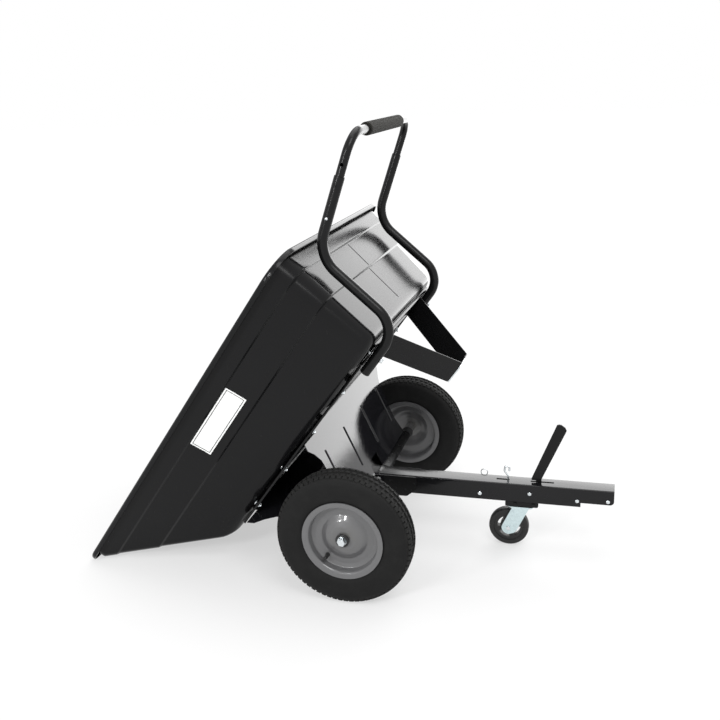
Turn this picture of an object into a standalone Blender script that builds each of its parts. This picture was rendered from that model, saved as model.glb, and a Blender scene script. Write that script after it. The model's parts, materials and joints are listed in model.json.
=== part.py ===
"""Garden tractor trailer: a moulded tub that tips about the axle, on a channel drawbar.

World frame: X across the trailer, +Y towards the drawbar's hitch, Z up, ground at z = 0.
The tub is drawn level, as when it is ready to load, and its pivot empty then tips it.
"""
import math

import bmesh
import bpy
from mathutils import Matrix, Vector

# Driving dimensions, in metres
CLEARANCE = 0.0003

TYRE_RADIUS = 0.203
TYRE_HALF_WIDTH = 0.0435
TREAD_HALF_WIDTH = 0.036
TRACK = 0.824
RIM_RADIUS = 0.121
RIM_HALF_WIDTH = 0.0375
RIM_SHEET = 0.0025
AXLE_RADIUS = 0.0095
HUB_RADIUS = 0.0165
HUB_HALF_LENGTH = 0.031
HUB_BORE = 0.0135
BUSH_FLANGE_RADIUS = 0.0205
BUSH_FLANGE = 0.004
BUSH_DEPTH = 0.016
BEAD_SEAT = 0.104
WELL_RADIUS = 0.088
DISH_RADIUS = 0.070
TYRE_SIDES = 28
RIM_SIDES = 24
DISC_MATE = 0.0060
VALVE_RADIUS = 0.0050
VALVE_PLACE = (0.056, 0.065)
AXLE_END = 0.014
NUT_RADIUS = 0.0135

TUB_LENGTH = 1.2943
TUB_FRONT = 0.606
TUB_HALF_WIDTH_REAR = 0.4065
TUB_HALF_WIDTH_FRONT = 0.4975
TUB_RIM_ABOVE_AXLE = 0.595
TUB_DEPTH = 0.331
TUB_WALL = 0.0045
RIM_FLANGE = 0.022
RIM_LIP = 0.017
RIM_BEND = 0.003
RIM_CORNER = 0.100
FLOOR_CORNER = 0.055
REAR_CORNER_SHARE = 0.4
CORNER_STEPS = 5
UPPER_LEDGE_DEPTH = 0.064
LOWER_LEDGE_DEPTH = 0.161
LEDGE_STEP = 0.007
SIDE_DRAFT = 0.060
FRONT_DRAFT = 0.040
REAR_SLOPE = 1.1189
REAR_SLOPE_DEPTH = 0.034
FLOOR_EDGE_RADIUS = 0.033
FLOOR_RIB_PITCH = 0.160
FLOOR_RIB_WIDTH = 0.048
FLOOR_RIB_HEIGHT = 0.010
FLOOR_RIB_FIRST = -0.242
FLOOR_RIBS = 5

DRAWBAR_WIDTH = 0.064
DRAWBAR_HEIGHT = 0.060
DRAWBAR_TOP = 0.2235
DRAWBAR_SHEET = 0.003
DRAWBAR_REAR = -0.040
DRAWBAR_FRONT = 0.744
NOSE_LENGTH = 0.0995
NOSE_STEP = 0.014
NOSE_CORNER = 0.012
AXLE_BRACKET_FRONT = 0.125
CROSS_BOLT_RADIUS = 0.0038
CROSS_BOLT_HEAD = 0.0064
CROSS_BOLTS = {"rear": (0.634, 0.1850), "front": (0.726, 0.1905)}
CLEVIS_PIN = (0.332, 0.1840)
CLIP_WIRE = 0.0014
CLIP_LOOP = 0.0108
LOCK_PIN_Y = 0.4175
LOCK_PIN_RADIUS = 0.0030
SLOT_PLAY = 0.0012
PIN_SLOT_REAR = 0.381
LEVER_SLOT_REAR = 0.4885
LEVER_SLOT_FRONT = 0.560

SADDLE_SHEET = 0.0025
SADDLE_EAR = 0.040
SADDLE_FLANGE = 0.034
SADDLE_FRONT_REACH = 0.145
SADDLE_REAR_REACH = -0.206
PIVOT_TUBE_RADIUS = 0.0165
PIVOT_TUBE_INNER_END = 0.046
PIVOT_TUBE_GAP = 0.0165
RAIL_INSET = 0.1525
RAIL_LEG = 0.040
RAIL_DROP = 0.0075
RAIL_SHEET = 0.003
RAIL_REAR = -0.235
RAIL_FRONT = 0.425
WAIST_GAP = 0.0435
NOTCH_HEIGHT = 0.060
BEAD_STATIONS = (-0.285, -0.098, 0.098, 0.285)
BEAD_START = 0.085
BEAD_END = 0.225
BEAD_RADIUS = 0.004
BEAD_SINK = 0.0008

STAND_WIDTH = 0.079
STAND_CENTRE = 0.4655
STAND_ROOT = 0.213
STAND_SHEET = 0.003
FOOT_HALF_WIDTH = 0.045
FOOT_SHEET = 0.004
FOOT_CLEARANCE = 0.0007
STRAP_GAP = 0.005
CROSS_DEPTH = 0.0055

HANDLE_INSET = 0.026
HANDLE_RADIUS = 0.015
HANDLE_END = 0.405
HANDLE_PITCH = math.radians(17.3)
HANDLE_SLEEVE_END = 0.815
LOOP_SHOWS = 0.114
LOOP_STOP = 0.003
LOOP_RADIUS = 0.0125
LOOP_CORNER = 0.060
GRIP_RADIUS = 0.0190
GRIP_HALF_LENGTH = 0.188
BUTTON_RADIUS = 0.0040
BUTTON_PROUD = 0.003
BUTTON_BACK = 0.023
HANDLE_FOOT_CORNER = 0.575
HANDLE_SHOULDER = (0.600, 0.5355)
HANDLE_FOOT_BEND = 0.080
HANDLE_SHOULDER_BEND = 0.100
SLEEVE_BORE = 0.175
LOOP_WALL = 0.0016
LOOP_TAIL = 0.050

LEVER_PIVOT_Y = 0.4885
LEVER_PIVOT_Z = 0.196
LEVER_THICKNESS = 0.006
LEVER_BOSS = 0.011
LEVER_LEAN = math.radians(22.0)
LEVER_WIDTH_HIGH = 0.034
LEVER_LENGTH = 0.205
LEVER_NECK = 0.016
LEVER_JAW = 0.0155

CASTER_RADIUS = 0.0635
CASTER_WIDTH = 0.030
CASTER_TRAIL = 0.0395
CASTER_CORE = 0.047
CASTER_SIDES = 28
CASTER_SLOTS = 4
CASTER_SLOT_SPAN = 62
CASTER_SLOT_INNER = 0.028
CASTER_SLOT_OUTER = 0.037
CASTER_BUSH_RADIUS = 0.007
CASTER_AXLE_RADIUS = 0.004
CASTER_TOP = 0.1450
SWIVEL_Y = 0.461
PLATE_HALF_LENGTH = 0.039
PLATE_HALF_WIDTH = 0.0315
PLATE_SHEET = 0.0025
SWIVEL_RACE = 0.004
KINGPIN_RADIUS = 0.007
FORK_SHEET = 0.003
FORK_END = 0.0215
FORK_LEAN = math.radians(64.3)
FORK_FRONT_OFFSET = 0.0264
BRACKET_REAR = 0.4125
BRACKET_FRONT = 0.516
BRACKET_SHEET = 0.0035
BRACKET_CORNER = 0.009

# Places worked out from the driving dimensions
TUB_REAR = TUB_FRONT - TUB_LENGTH
AXLE_Z = TYRE_RADIUS
LIP_BOTTOM = TUB_RIM_ABOVE_AXLE - RIM_LIP
LIP_RADIUS = math.hypot(TUB_REAR, LIP_BOTTOM)
LIP_ANGLE = math.atan2(LIP_BOTTOM, TUB_REAR)
TIP_ANGLE = math.pi + math.asin((AXLE_Z - CLEARANCE) / LIP_RADIUS) - LIP_ANGLE
RIM_EDGE = RIM_BEND + TUB_WALL * (1.0 - math.tan(math.radians(22.5)))
REAR_REACH = (TUB_REAR + RIM_EDGE) * math.cos(TIP_ANGLE) - TUB_RIM_ABOVE_AXLE * math.sin(TIP_ANGLE)
AXLE_Y = -(REAR_REACH + DRAWBAR_FRONT) / 2
WHEEL_X = TRACK / 2
FLOOR_Z = TUB_RIM_ABOVE_AXLE - TUB_DEPTH
DRAWBAR_BOTTOM = DRAWBAR_TOP - DRAWBAR_HEIGHT
BRACKET_LOW = CASTER_TOP + CLEARANCE
FOOT_BOTTOM = DRAWBAR_TOP - AXLE_Z + FOOT_CLEARANCE
CROSS_TOP = FLOOR_Z - RAIL_SHEET - 2 * CLEARANCE
CROSS_BOTTOM = CROSS_TOP - CROSS_DEPTH
HANDLE_LOW_Z = CROSS_BOTTOM - CLEARANCE - HANDLE_RADIUS
STAND_REAR = STAND_CENTRE - STAND_WIDTH / 2
STAND_FRONT = STAND_CENTRE + STAND_WIDTH / 2
TYRE_INNER = WHEEL_X - TYRE_HALF_WIDTH
PIVOT_TUBE_OUTER_END = TYRE_INNER - PIVOT_TUBE_GAP
SADDLE_WAIST = TYRE_INNER - WAIST_GAP
RAIL_HALF_SPACING = TUB_HALF_WIDTH_FRONT - RAIL_INSET
SADDLE_HALF_WIDTH = RAIL_HALF_SPACING + SADDLE_EAR
HANDLE_HALF_SPACING = RAIL_HALF_SPACING - HANDLE_INSET
HANDLE_GRIP_REACH = HANDLE_SLEEVE_END + LOOP_SHOWS
BUTTON_STATION = HANDLE_SLEEVE_END - BUTTON_BACK
LOOP_START = BUTTON_STATION - LOOP_TAIL
SLEEVE_BORE_START = HANDLE_SLEEVE_END - SLEEVE_BORE
HANDLE_TRAVEL = LOOP_SHOWS / math.cos(HANDLE_PITCH) - LOOP_CORNER - LOOP_STOP


def clear_scene():
    """Removes what the file opened with."""
    for obj in list(bpy.data.objects):
        bpy.data.objects.remove(obj, do_unlink=True)


def collection(name):
    """A new collection under the scene's own."""
    made = bpy.data.collections.new(name)
    bpy.context.scene.collection.children.link(made)
    return made


clear_scene()
PARTS = collection("garden_tractor_trailer")
CUTTERS = collection("cutters")

# Finishes: colour, roughness and metallic value
BLACK_STEEL = ((0.018, 0.018, 0.019), 0.30, 0.0)
BLACK_PLASTIC = ((0.020, 0.020, 0.021), 0.25, 0.0)
GREY_STEEL = ((0.20, 0.20, 0.205), 0.35, 0.0)
RUBBER = ((0.015, 0.015, 0.015), 0.70, 0.0)
FOAM = ((0.030, 0.029, 0.026), 0.90, 0.0)
ZINC = ((0.62, 0.66, 0.68), 0.35, 1.0)
NYLON = ((0.03, 0.03, 0.03), 0.50, 0.0)

# Turns a flat outline drawn in (y, z) to stand in the trailer's side plane
SIDE_PLANE = Matrix(((0, 0, 1, 0), (1, 0, 0, 0), (0, 1, 0, 0), (0, 0, 0, 1)))


def pivot(name, place, turn=0.0, parent=None):
    """An empty on a joint's axis, which carries the pieces of one moving body."""
    empty = bpy.data.objects.new(name, None)
    empty.empty_display_size = 0.05
    empty.parent = parent
    empty.location = place
    empty.rotation_euler = (turn, 0.0, 0.0)
    PARTS.objects.link(empty)
    return empty


def add(name, mesh, finish, carrier):
    """Puts a mesh in the scene as one named piece with its own plain material."""
    colour, roughness, metallic = finish
    material = bpy.data.materials.new(name + "_finish")
    material.use_nodes = True
    shader = material.node_tree.nodes["Principled BSDF"]
    shader.inputs["Base Color"].default_value = (*colour, 1.0)
    shader.inputs["Roughness"].default_value = roughness
    shader.inputs["Metallic"].default_value = metallic
    material.diffuse_color = (*colour, 1.0)
    piece = bpy.data.objects.new(name, mesh)
    piece.parent = carrier
    PARTS.objects.link(piece)
    mesh.materials.clear()
    mesh.materials.append(material)
    return piece


def boolean(piece, tool, operation):
    """One exact Boolean, whose tool is hidden and kept out of the parts."""
    if tool.name in PARTS.objects:
        PARTS.objects.unlink(tool)
        CUTTERS.objects.link(tool)
        tool.hide_render = True
        tool.display_type = "WIRE"
    modifier = piece.modifiers.new(operation.lower(), "BOOLEAN")
    modifier.solver = "EXACT"
    modifier.operation = operation
    modifier.object = tool


def cut(piece, *tools):
    """Takes each tool's volume out of a piece."""
    for tool in tools:
        boolean(piece, tool, "DIFFERENCE")
    return piece


def join(piece, *tools):
    """Welds each tool's volume to a piece."""
    for tool in tools:
        boolean(piece, tool, "UNION")
    return piece


def from_bmesh(name, bm):
    """Turns a bmesh into a mesh with outward faces."""
    bmesh.ops.recalc_face_normals(bm, faces=bm.faces)
    mesh = bpy.data.meshes.new(name)
    bm.to_mesh(mesh)
    bm.free()
    return mesh


def soften(mesh, angle=35):
    """Smooth shading with sharp creases."""
    mesh.shade_smooth()
    mesh.set_sharp_from_angle(angle=math.radians(angle))
    return mesh


def box(name, low, high, finish, carrier):
    """A block between two corners."""
    size = [b - a for a, b in zip(low, high)]
    middle = [(a + b) / 2 for a, b in zip(low, high)]
    bm = bmesh.new()
    bmesh.ops.create_cube(bm, size=1.0, matrix=Matrix.Translation(middle) @ Matrix.Diagonal((*size, 1.0)))
    return add(name, from_bmesh(name, bm), finish, carrier)


def rods(name, ends, radius, finish, carrier, sides=20):
    """Solid cylinders, each between two points."""
    bm = bmesh.new()
    for start, end in ends:
        start, end = Vector(start), Vector(end)
        along = end - start
        place = Matrix.Translation((start + end) / 2) @ along.to_track_quat("Z", "Y").to_matrix().to_4x4()
        bmesh.ops.create_cone(bm, cap_ends=True, segments=sides, radius1=radius, radius2=radius,
                              depth=along.length, matrix=place)
    return add(name, soften(from_bmesh(name, bm)), finish, carrier)


def turned(name, profile, finish, carrier, place=(0, 0, 0), axis="X", steps=32, closed=False):
    """A profile of (radius, distance along the axis) swept round X, Y or Z by a Screw modifier."""
    spin = sum(a[0] * b[1] - b[0] * a[1] for a, b in zip(profile, profile[1:] + profile[:1]))
    if spin > 0:
        profile = profile[::-1]
    edges = [(i, i + 1) for i in range(len(profile) - 1)]
    if closed:
        edges.append((len(profile) - 1, 0))
    mesh = bpy.data.meshes.new(name)
    mesh.from_pydata([(radius, 0.0, along) for radius, along in profile], edges, [])
    piece = add(name, mesh, finish, carrier)
    piece.location = place
    piece.rotation_euler = {"X": (0, math.pi / 2, 0), "Y": (-math.pi / 2, 0, 0), "Z": (0, 0, 0)}[axis]
    screw = piece.modifiers.new("turn", "SCREW")
    screw.axis = "Z"
    screw.steps = steps
    screw.render_steps = steps
    screw.use_merge_vertices = True
    screw.merge_threshold = 0.00001
    return piece


def bolt(name, start, end, radius, head, height, finish, carrier, axis="X", steps=8):
    """A turned bolt from start to end along its axis, with a domed head and a nut outside those ends."""
    index = "XYZ".index(axis)
    reach = abs(end[index] - start[index]) / 2
    middle = [(a + b) / 2 for a, b in zip(start, end)]
    profile = [(0.0, reach + height), (head * 0.6, reach + height), (head, reach + height * 0.4),
               (head, reach), (radius, reach), (radius, -reach), (head, -reach), (head, -reach - height),
               (0.0, -reach - height)]
    return turned(name, profile, finish, carrier, middle, axis, steps)


def arc(centre, radius, start, end, steps):
    """Points of an arc, in degrees."""
    angles = [math.radians(start + (end - start) * i / steps) for i in range(steps + 1)]
    return [(centre[0] + radius * math.cos(a), centre[1] + radius * math.sin(a)) for a in angles]


def ring(centre, radius, sides):
    """Points of a full circle, without the last one that would meet the first."""
    return arc(centre, radius, 0, 360 - 360 / sides, sides - 1)


def clear_bore(radius, sides):
    """Corner radius of a faceted bore whose flats stand clear of a round piece."""
    return (radius + CLEARANCE) / math.cos(math.pi / sides)


def rounded_rectangle(half_x, half_y, radius, steps=3):
    """A rectangle's outline with round corners, about its own centre."""
    outline = []
    for sx, sy, start in ((1, 1, 0), (-1, 1, 90), (-1, -1, 180), (1, -1, 270)):
        outline += arc((sx * (half_x - radius), sy * (half_y - radius)), radius, start, start + 90, steps)
    return outline


def fillet(points, radii, steps=4):
    """A path with each inner corner rounded by its radius."""
    path = [Vector(points[0])]
    for before, corner, after, radius in zip(points, points[1:], points[2:], radii):
        corner = Vector(corner)
        back = (Vector(before) - corner).normalized()
        ahead = (Vector(after) - corner).normalized()
        half = back.angle(ahead) / 2
        centre = corner + (back + ahead).normalized() * (radius / math.sin(half))
        first = corner + back * (radius / math.tan(half)) - centre
        last = corner + ahead * (radius / math.tan(half)) - centre
        turn = first.angle(last)
        for i in range(steps + 1):
            early = math.sin((1 - i / steps) * turn) / math.sin(turn)
            late = math.sin(i / steps * turn) / math.sin(turn)
            path.append(centre + first * early + last * late)
    path.append(Vector(points[-1]))
    return path


def baked_curve(name, curve):
    """A curve's evaluated shape as a welded mesh."""
    holder = bpy.data.objects.new(name, curve)
    bpy.context.scene.collection.objects.link(holder)
    bpy.context.view_layer.update()
    shape = bpy.data.meshes.new_from_object(holder.evaluated_get(bpy.context.evaluated_depsgraph_get()))
    bpy.data.objects.remove(holder, do_unlink=True)
    bm = bmesh.new()
    bm.from_mesh(shape)
    bmesh.ops.remove_doubles(bm, verts=bm.verts, dist=0.00001)
    return from_bmesh(name, bm)


def tube(name, path, radius, finish, carrier, resolution=2):
    """A round bar along a path, with closed ends."""
    curve = bpy.data.curves.new(name, "CURVE")
    curve.dimensions = "3D"
    curve.bevel_depth = radius
    curve.bevel_resolution = resolution
    curve.use_fill_caps = True
    spline = curve.splines.new("POLY")
    spline.points.add(len(path) - 1)
    for point, place in zip(spline.points, path):
        point.co = (*place, 1.0)
    return add(name, soften(baked_curve(name, curve)), finish, carrier)


def flat(name, outlines, thickness, finish, carrier, place=Matrix()):
    """A flat plate from closed outlines, those inside others being holes, centred on its own plane."""
    curve = bpy.data.curves.new(name, "CURVE")
    curve.dimensions = "2D"
    curve.fill_mode = "BOTH"
    curve.extrude = thickness / 2
    for outline in outlines:
        spline = curve.splines.new("POLY")
        spline.points.add(len(outline) - 1)
        for point, (x, y) in zip(spline.points, outline):
            point.co = (x, y, 0.0, 1.0)
        spline.use_cyclic_u = True
    mesh = baked_curve(name, curve)
    mesh.transform(place)
    return add(name, mesh, finish, carrier)


def sheet(name, path, thickness, start, end, finish, carrier, axis="Y"):
    """Sheet metal bent along a path of two coordinates and running from start to end along Y or X."""
    def place(point, along):
        return (point[0], along, point[1]) if axis == "Y" else (along, point[0], point[1])

    bm = bmesh.new()
    row = [bm.verts.new(place(point, start)) for point in path]
    for a, b in zip(row, row[1:]):
        bm.edges.new((a, b))
    grown = bmesh.ops.extrude_edge_only(bm, edges=bm.edges[:])["geom"]
    moved = [item for item in grown if isinstance(item, bmesh.types.BMVert)]
    bmesh.ops.translate(bm, verts=moved, vec=place((0.0, 0.0), end - start))
    piece = add(name, from_bmesh(name, bm), finish, carrier)
    thicken(piece, thickness)
    return piece


def thicken(piece, thickness, offset=0.0):
    """Gives an open surface its sheet thickness."""
    solidify = piece.modifiers.new("sheet", "SOLIDIFY")
    solidify.thickness = thickness
    solidify.offset = offset
    solidify.use_even_offset = True


ground = pivot("chassis_station", (0.0, AXLE_Y, 0.0))
tub = pivot("tub_pivot", (0.0, AXLE_Y, AXLE_Z), TIP_ANGLE)


def cross_holes(name):
    """Clearance cutters through the drawbar's flanges for its cross bolts and the clevis pin."""
    reach = DRAWBAR_WIDTH
    places = [*CROSS_BOLTS.values(), CLEVIS_PIN, (LEVER_PIVOT_Y, LEVER_PIVOT_Z)]
    ends = [((-reach, y, z), (reach, y, z)) for y, z in places]
    return rods(name, ends, clear_bore(CROSS_BOLT_RADIUS, 8), BLACK_STEEL, ground, 8)


def drawbar():
    """The channel drawbar, open below, with its slots, holes and stepped nose."""
    half = (DRAWBAR_WIDTH - DRAWBAR_SHEET) / 2
    top = DRAWBAR_TOP - DRAWBAR_SHEET / 2
    corners = [(half, DRAWBAR_BOTTOM), (half, top), (-half, top), (-half, DRAWBAR_BOTTOM)]
    channel = sheet("drawbar_channel", fillet(corners, (0.005, 0.005), 2), DRAWBAR_SHEET,
                    DRAWBAR_REAR, DRAWBAR_FRONT, BLACK_STEEL, ground)
    wide = DRAWBAR_WIDTH
    slot = LEVER_THICKNESS / 2 + SLOT_PLAY
    pin_end = LOCK_PIN_Y + LOCK_PIN_RADIUS + SLOT_PLAY
    low = DRAWBAR_BOTTOM + NOSE_STEP
    step = [(DRAWBAR_FRONT - NOSE_LENGTH, DRAWBAR_BOTTOM - 0.01), (DRAWBAR_FRONT - NOSE_LENGTH, low)]
    step += arc((DRAWBAR_FRONT - NOSE_CORNER, low + NOSE_CORNER), NOSE_CORNER, 270, 360, 5)
    step += [(DRAWBAR_FRONT + 0.01, low + NOSE_CORNER), (DRAWBAR_FRONT + 0.01, DRAWBAR_BOTTOM - 0.01)]
    cut(channel,
        flat("nose_step", [step], 2 * wide, BLACK_STEEL, ground, SIDE_PLANE),
        box("lever_slot", (-slot, LEVER_SLOT_REAR, top - 0.01), (slot, LEVER_SLOT_FRONT, top + 0.01),
            BLACK_STEEL, ground),
        box("pin_slot", (-slot, PIN_SLOT_REAR, top - 0.01), (slot, pin_end, top + 0.01), BLACK_STEEL, ground),
        rods("axle_holes", [((-wide, 0, AXLE_Z), (wide, 0, AXLE_Z))], clear_bore(AXLE_RADIUS, 12),
             BLACK_STEEL, ground, 12),
        cross_holes("drawbar_cross_holes"))


def nose_channel():
    """The inner channel bolted in the nose, open above."""
    half = DRAWBAR_WIDTH / 2 - DRAWBAR_SHEET - CLEARANCE - DRAWBAR_SHEET / 2
    web = DRAWBAR_BOTTOM + NOSE_STEP + DRAWBAR_SHEET / 2
    high = DRAWBAR_TOP - DRAWBAR_SHEET - 0.010
    corners = [(half, high), (half, web), (-half, web), (-half, high)]
    inner = sheet("nose_channel", fillet(corners, (0.004, 0.004), 2), DRAWBAR_SHEET,
                  CROSS_BOLTS["rear"][0] - 0.014, DRAWBAR_FRONT - NOSE_CORNER, BLACK_STEEL, ground)
    cut(inner, cross_holes("nose_cross_holes"))


def axle_and_bracket():
    """The fixed axle shaft and the U bracket that ties it to the drawbar."""
    end = WHEEL_X + HUB_HALF_LENGTH + BUSH_FLANGE + AXLE_END
    rods("axle_shaft", [((-end, 0, AXLE_Z), (end, 0, AXLE_Z))], AXLE_RADIUS, ZINC, ground, 16)
    half = DRAWBAR_WIDTH / 2 + CLEARANCE + BRACKET_SHEET / 2
    low = DRAWBAR_BOTTOM - 0.012
    corners = [(half, DRAWBAR_TOP - 0.002), (half, low), (-half, low), (-half, DRAWBAR_TOP - 0.002)]
    bracket = sheet("axle_bracket", fillet(corners, (0.005, 0.005), 3), BRACKET_SHEET,
                    DRAWBAR_REAR, AXLE_BRACKET_FRONT, BLACK_STEEL, ground)
    taper = [(AXLE_BRACKET_FRONT + 0.01, low - 0.01), (AXLE_BRACKET_FRONT - 0.045, low - 0.01),
             (AXLE_BRACKET_FRONT + 0.01, low + 0.035)]
    cut(bracket,
        flat("bracket_taper", [taper], 4 * half, BLACK_STEEL, ground, SIDE_PLANE),
        rods("bracket_axle_holes", [((-3 * half, 0, AXLE_Z), (3 * half, 0, AXLE_Z))],
             clear_bore(AXLE_RADIUS, 12), BLACK_STEEL, ground, 12))


def cross_bolts():
    """The bolts through the drawbar's flanges and the clevis pin with its spring clip."""
    half = DRAWBAR_WIDTH / 2 + CLEARANCE
    for where, (y, z) in CROSS_BOLTS.items():
        bolt("drawbar_bolt_" + where, (-half, y, z), (half, y, z), CROSS_BOLT_RADIUS, CROSS_BOLT_HEAD, 0.005,
             ZINC, ground)
    y, z = LEVER_PIVOT_Y, LEVER_PIVOT_Z
    bolt("lever_pivot_bolt", (-half, y, z), (half, y, z), CROSS_BOLT_RADIUS, CROSS_BOLT_HEAD, 0.005, ZINC, ground)
    y, z = CLEVIS_PIN
    tip = half + 0.018
    profile = [(0.0, half + 0.004), (CROSS_BOLT_HEAD, half + 0.003), (CROSS_BOLT_HEAD, half),
               (CROSS_BOLT_RADIUS, half), (CROSS_BOLT_RADIUS, -tip), (0.0, -tip)]
    pin = turned("clevis_pin", profile, ZINC, ground, (0, y, z), "X", 10)
    clip_x = -half - 0.010
    cut(pin, rods("clip_hole", [((clip_x, y, z - 0.01), (clip_x, y, z + 0.01))], CLIP_WIRE + 0.0004,
                  ZINC, ground, 8))
    eye_y = y + CLIP_LOOP * 0.35
    eye_z = DRAWBAR_TOP
    bump = y + CROSS_BOLT_RADIUS + CLIP_WIRE + CLEARANCE
    route = [(y, z - 0.018), (y, eye_z - CLIP_LOOP * 1.15)]
    route += arc((eye_y, eye_z), CLIP_LOOP, 215, -50, 12)
    route += [(bump + 0.003, z + 0.020), (bump - 0.0010, z + 0.010), (bump + 0.0006, z + 0.004), (bump + 0.0006, z - 0.004),
              (bump - 0.0010, z - 0.010), (bump + 0.002, z - 0.018)]
    tube("clevis_clip", [(clip_x, b, c) for b, c in route], CLIP_WIRE, ZINC, ground, 1)


def release_lever():
    """The flat latch lever, released: swung back in the drawbar's slot, its jaw hooks the stand's foot."""
    carrier = pivot("lever_pivot", (0.0, LEVER_PIVOT_Y, LEVER_PIVOT_Z), parent=ground)
    along = Vector((math.sin(LEVER_LEAN), math.cos(LEVER_LEAN)))
    across = Vector((math.cos(LEVER_LEAN), -math.sin(LEVER_LEAN)))
    plate = DRAWBAR_TOP - LEVER_PIVOT_Z
    neck_rear = STAND_FRONT + 0.0010 - LEVER_PIVOT_Y
    jaw_low = FOOT_BOTTOM + FOOT_SHEET + 0.0012 + AXLE_Z - LEVER_PIVOT_Z
    jaw = Vector((neck_rear - LEVER_JAW, jaw_low + 0.004))
    tip = jaw + along * LEVER_LENGTH
    front_low = Vector((neck_rear + LEVER_NECK, plate + 0.010))
    shoulder = tip + across * LEVER_WIDTH_HIGH
    outline = [tuple(jaw), tuple(tip - along * 0.004), tuple(tip + across * 0.004),
               tuple(tip + across * LEVER_WIDTH_HIGH * 0.35 + along * 0.002),
               tuple(tip + across * LEVER_WIDTH_HIGH * 0.75 - along * 0.001),
               tuple(shoulder - along * 0.009), tuple(shoulder - along * 0.016),
               tuple(front_low), (front_low.x, plate - 0.006)]
    outline += arc((0.0, 0.0), LEVER_BOSS, -10, -200, 8)
    outline += [(-LEVER_BOSS * 0.5, LEVER_BOSS * 0.9), (neck_rear, plate - 0.006), (neck_rear, jaw_low - 0.0025),
                (neck_rear - 0.003, jaw_low - 0.0003), (jaw.x + 0.001, jaw_low)]
    bore = ring((0, 0), clear_bore(CROSS_BOLT_RADIUS, 12), 12)
    flat("release_lever", [outline, bore], LEVER_THICKNESS, BLACK_STEEL, carrier, SIDE_PLANE)


def lock_pin():
    """The bent-rod pin that drops through the drawbar's slot into the caster bracket."""
    carrier = pivot("lock_pin_axis", (0.0, LOCK_PIN_Y, DRAWBAR_TOP), parent=ground)
    low = BRACKET_LOW + 0.0010 - DRAWBAR_TOP
    corners = [(0, 0, low), (0, 0, 0.013), (0, -0.0115, 0.030), (0, -0.009, 0.0455), (0, 0.0050, 0.0455),
               (0, 0.0035, 0.030)]
    tube("lock_pin", fillet(corners, (0.006, 0.006, 0.005, 0.005), 3), LOCK_PIN_RADIUS, ZINC, carrier, 1)


def caster_bracket():
    """The upturned channel under the drawbar that carries the caster."""
    half = DRAWBAR_WIDTH / 2 - BRACKET_SHEET / 2
    web = BRACKET_LOW + BRACKET_SHEET / 2
    high = DRAWBAR_BOTTOM - CLEARANCE
    corners = [(half, high), (half, web), (-half, web), (-half, high)]
    bracket = sheet("caster_bracket", fillet(corners, (0.004, 0.004), 3), BRACKET_SHEET,
                    BRACKET_REAR, BRACKET_FRONT, BLACK_STEEL, ground)
    corner = (BRACKET_FRONT - BRACKET_CORNER, BRACKET_LOW + BRACKET_CORNER)
    nose = arc(corner, BRACKET_CORNER, 270, 360, 4)
    nose += [(BRACKET_FRONT + 0.01, corner[1]), (BRACKET_FRONT + 0.01, BRACKET_LOW - 0.01),
             (corner[0], BRACKET_LOW - 0.01)]
    kingpin_room = KINGPIN_RADIUS + 0.001
    cut(bracket,
        flat("bracket_nose", [nose], 2 * DRAWBAR_WIDTH, BLACK_STEEL, ground, SIDE_PLANE),
        rods("lock_pin_hole", [((0, LOCK_PIN_Y, BRACKET_LOW - 0.01), (0, LOCK_PIN_Y, BRACKET_LOW + 0.01))],
             LOCK_PIN_RADIUS + 0.0006, BLACK_STEEL, ground, 8),
        rods("kingpin_hole", [((0, SWIVEL_Y, BRACKET_LOW - 0.01), (0, SWIVEL_Y, BRACKET_LOW + 0.01))],
             kingpin_room, BLACK_STEEL, ground, 12))


def caster_mount():
    """The caster's fixed top plate, ball race and kingpin; gives the height of the fork's crown."""
    place = Matrix.Translation((0, SWIVEL_Y, CASTER_TOP - PLATE_SHEET / 2))
    bore = ring((0, 0), clear_bore(KINGPIN_RADIUS, 12), 12)
    outline = rounded_rectangle(PLATE_HALF_WIDTH, PLATE_HALF_LENGTH, 0.006)
    flat("caster_top_plate", [outline, bore], PLATE_SHEET, ZINC, ground, place)
    race_top = CASTER_TOP - PLATE_SHEET - CLEARANCE
    bore_radius = clear_bore(KINGPIN_RADIUS, 16)
    race = [(0.0215, 0.0), (0.0245, -SWIVEL_RACE * 0.5), (0.0215, -SWIVEL_RACE), (bore_radius, -SWIVEL_RACE),
            (bore_radius, 0.0)]
    turned("caster_ball_race", race, ZINC, ground, (0, SWIVEL_Y, race_top), "Z", 16, closed=True)
    crown_top = race_top - SWIVEL_RACE - CLEARANCE
    crown_low = crown_top - FORK_SHEET
    head = crown_low - CLEARANCE
    kingpin = [(0.0, CASTER_TOP + 0.002), (KINGPIN_RADIUS, CASTER_TOP + 0.002), (KINGPIN_RADIUS, head),
               (KINGPIN_RADIUS + 0.003, head), (KINGPIN_RADIUS + 0.001, head - 0.0014), (0.0, head - 0.0014)]
    turned("caster_kingpin", kingpin, ZINC, ground, (0, SWIVEL_Y, 0), "Z", 12)
    return crown_top


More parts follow.
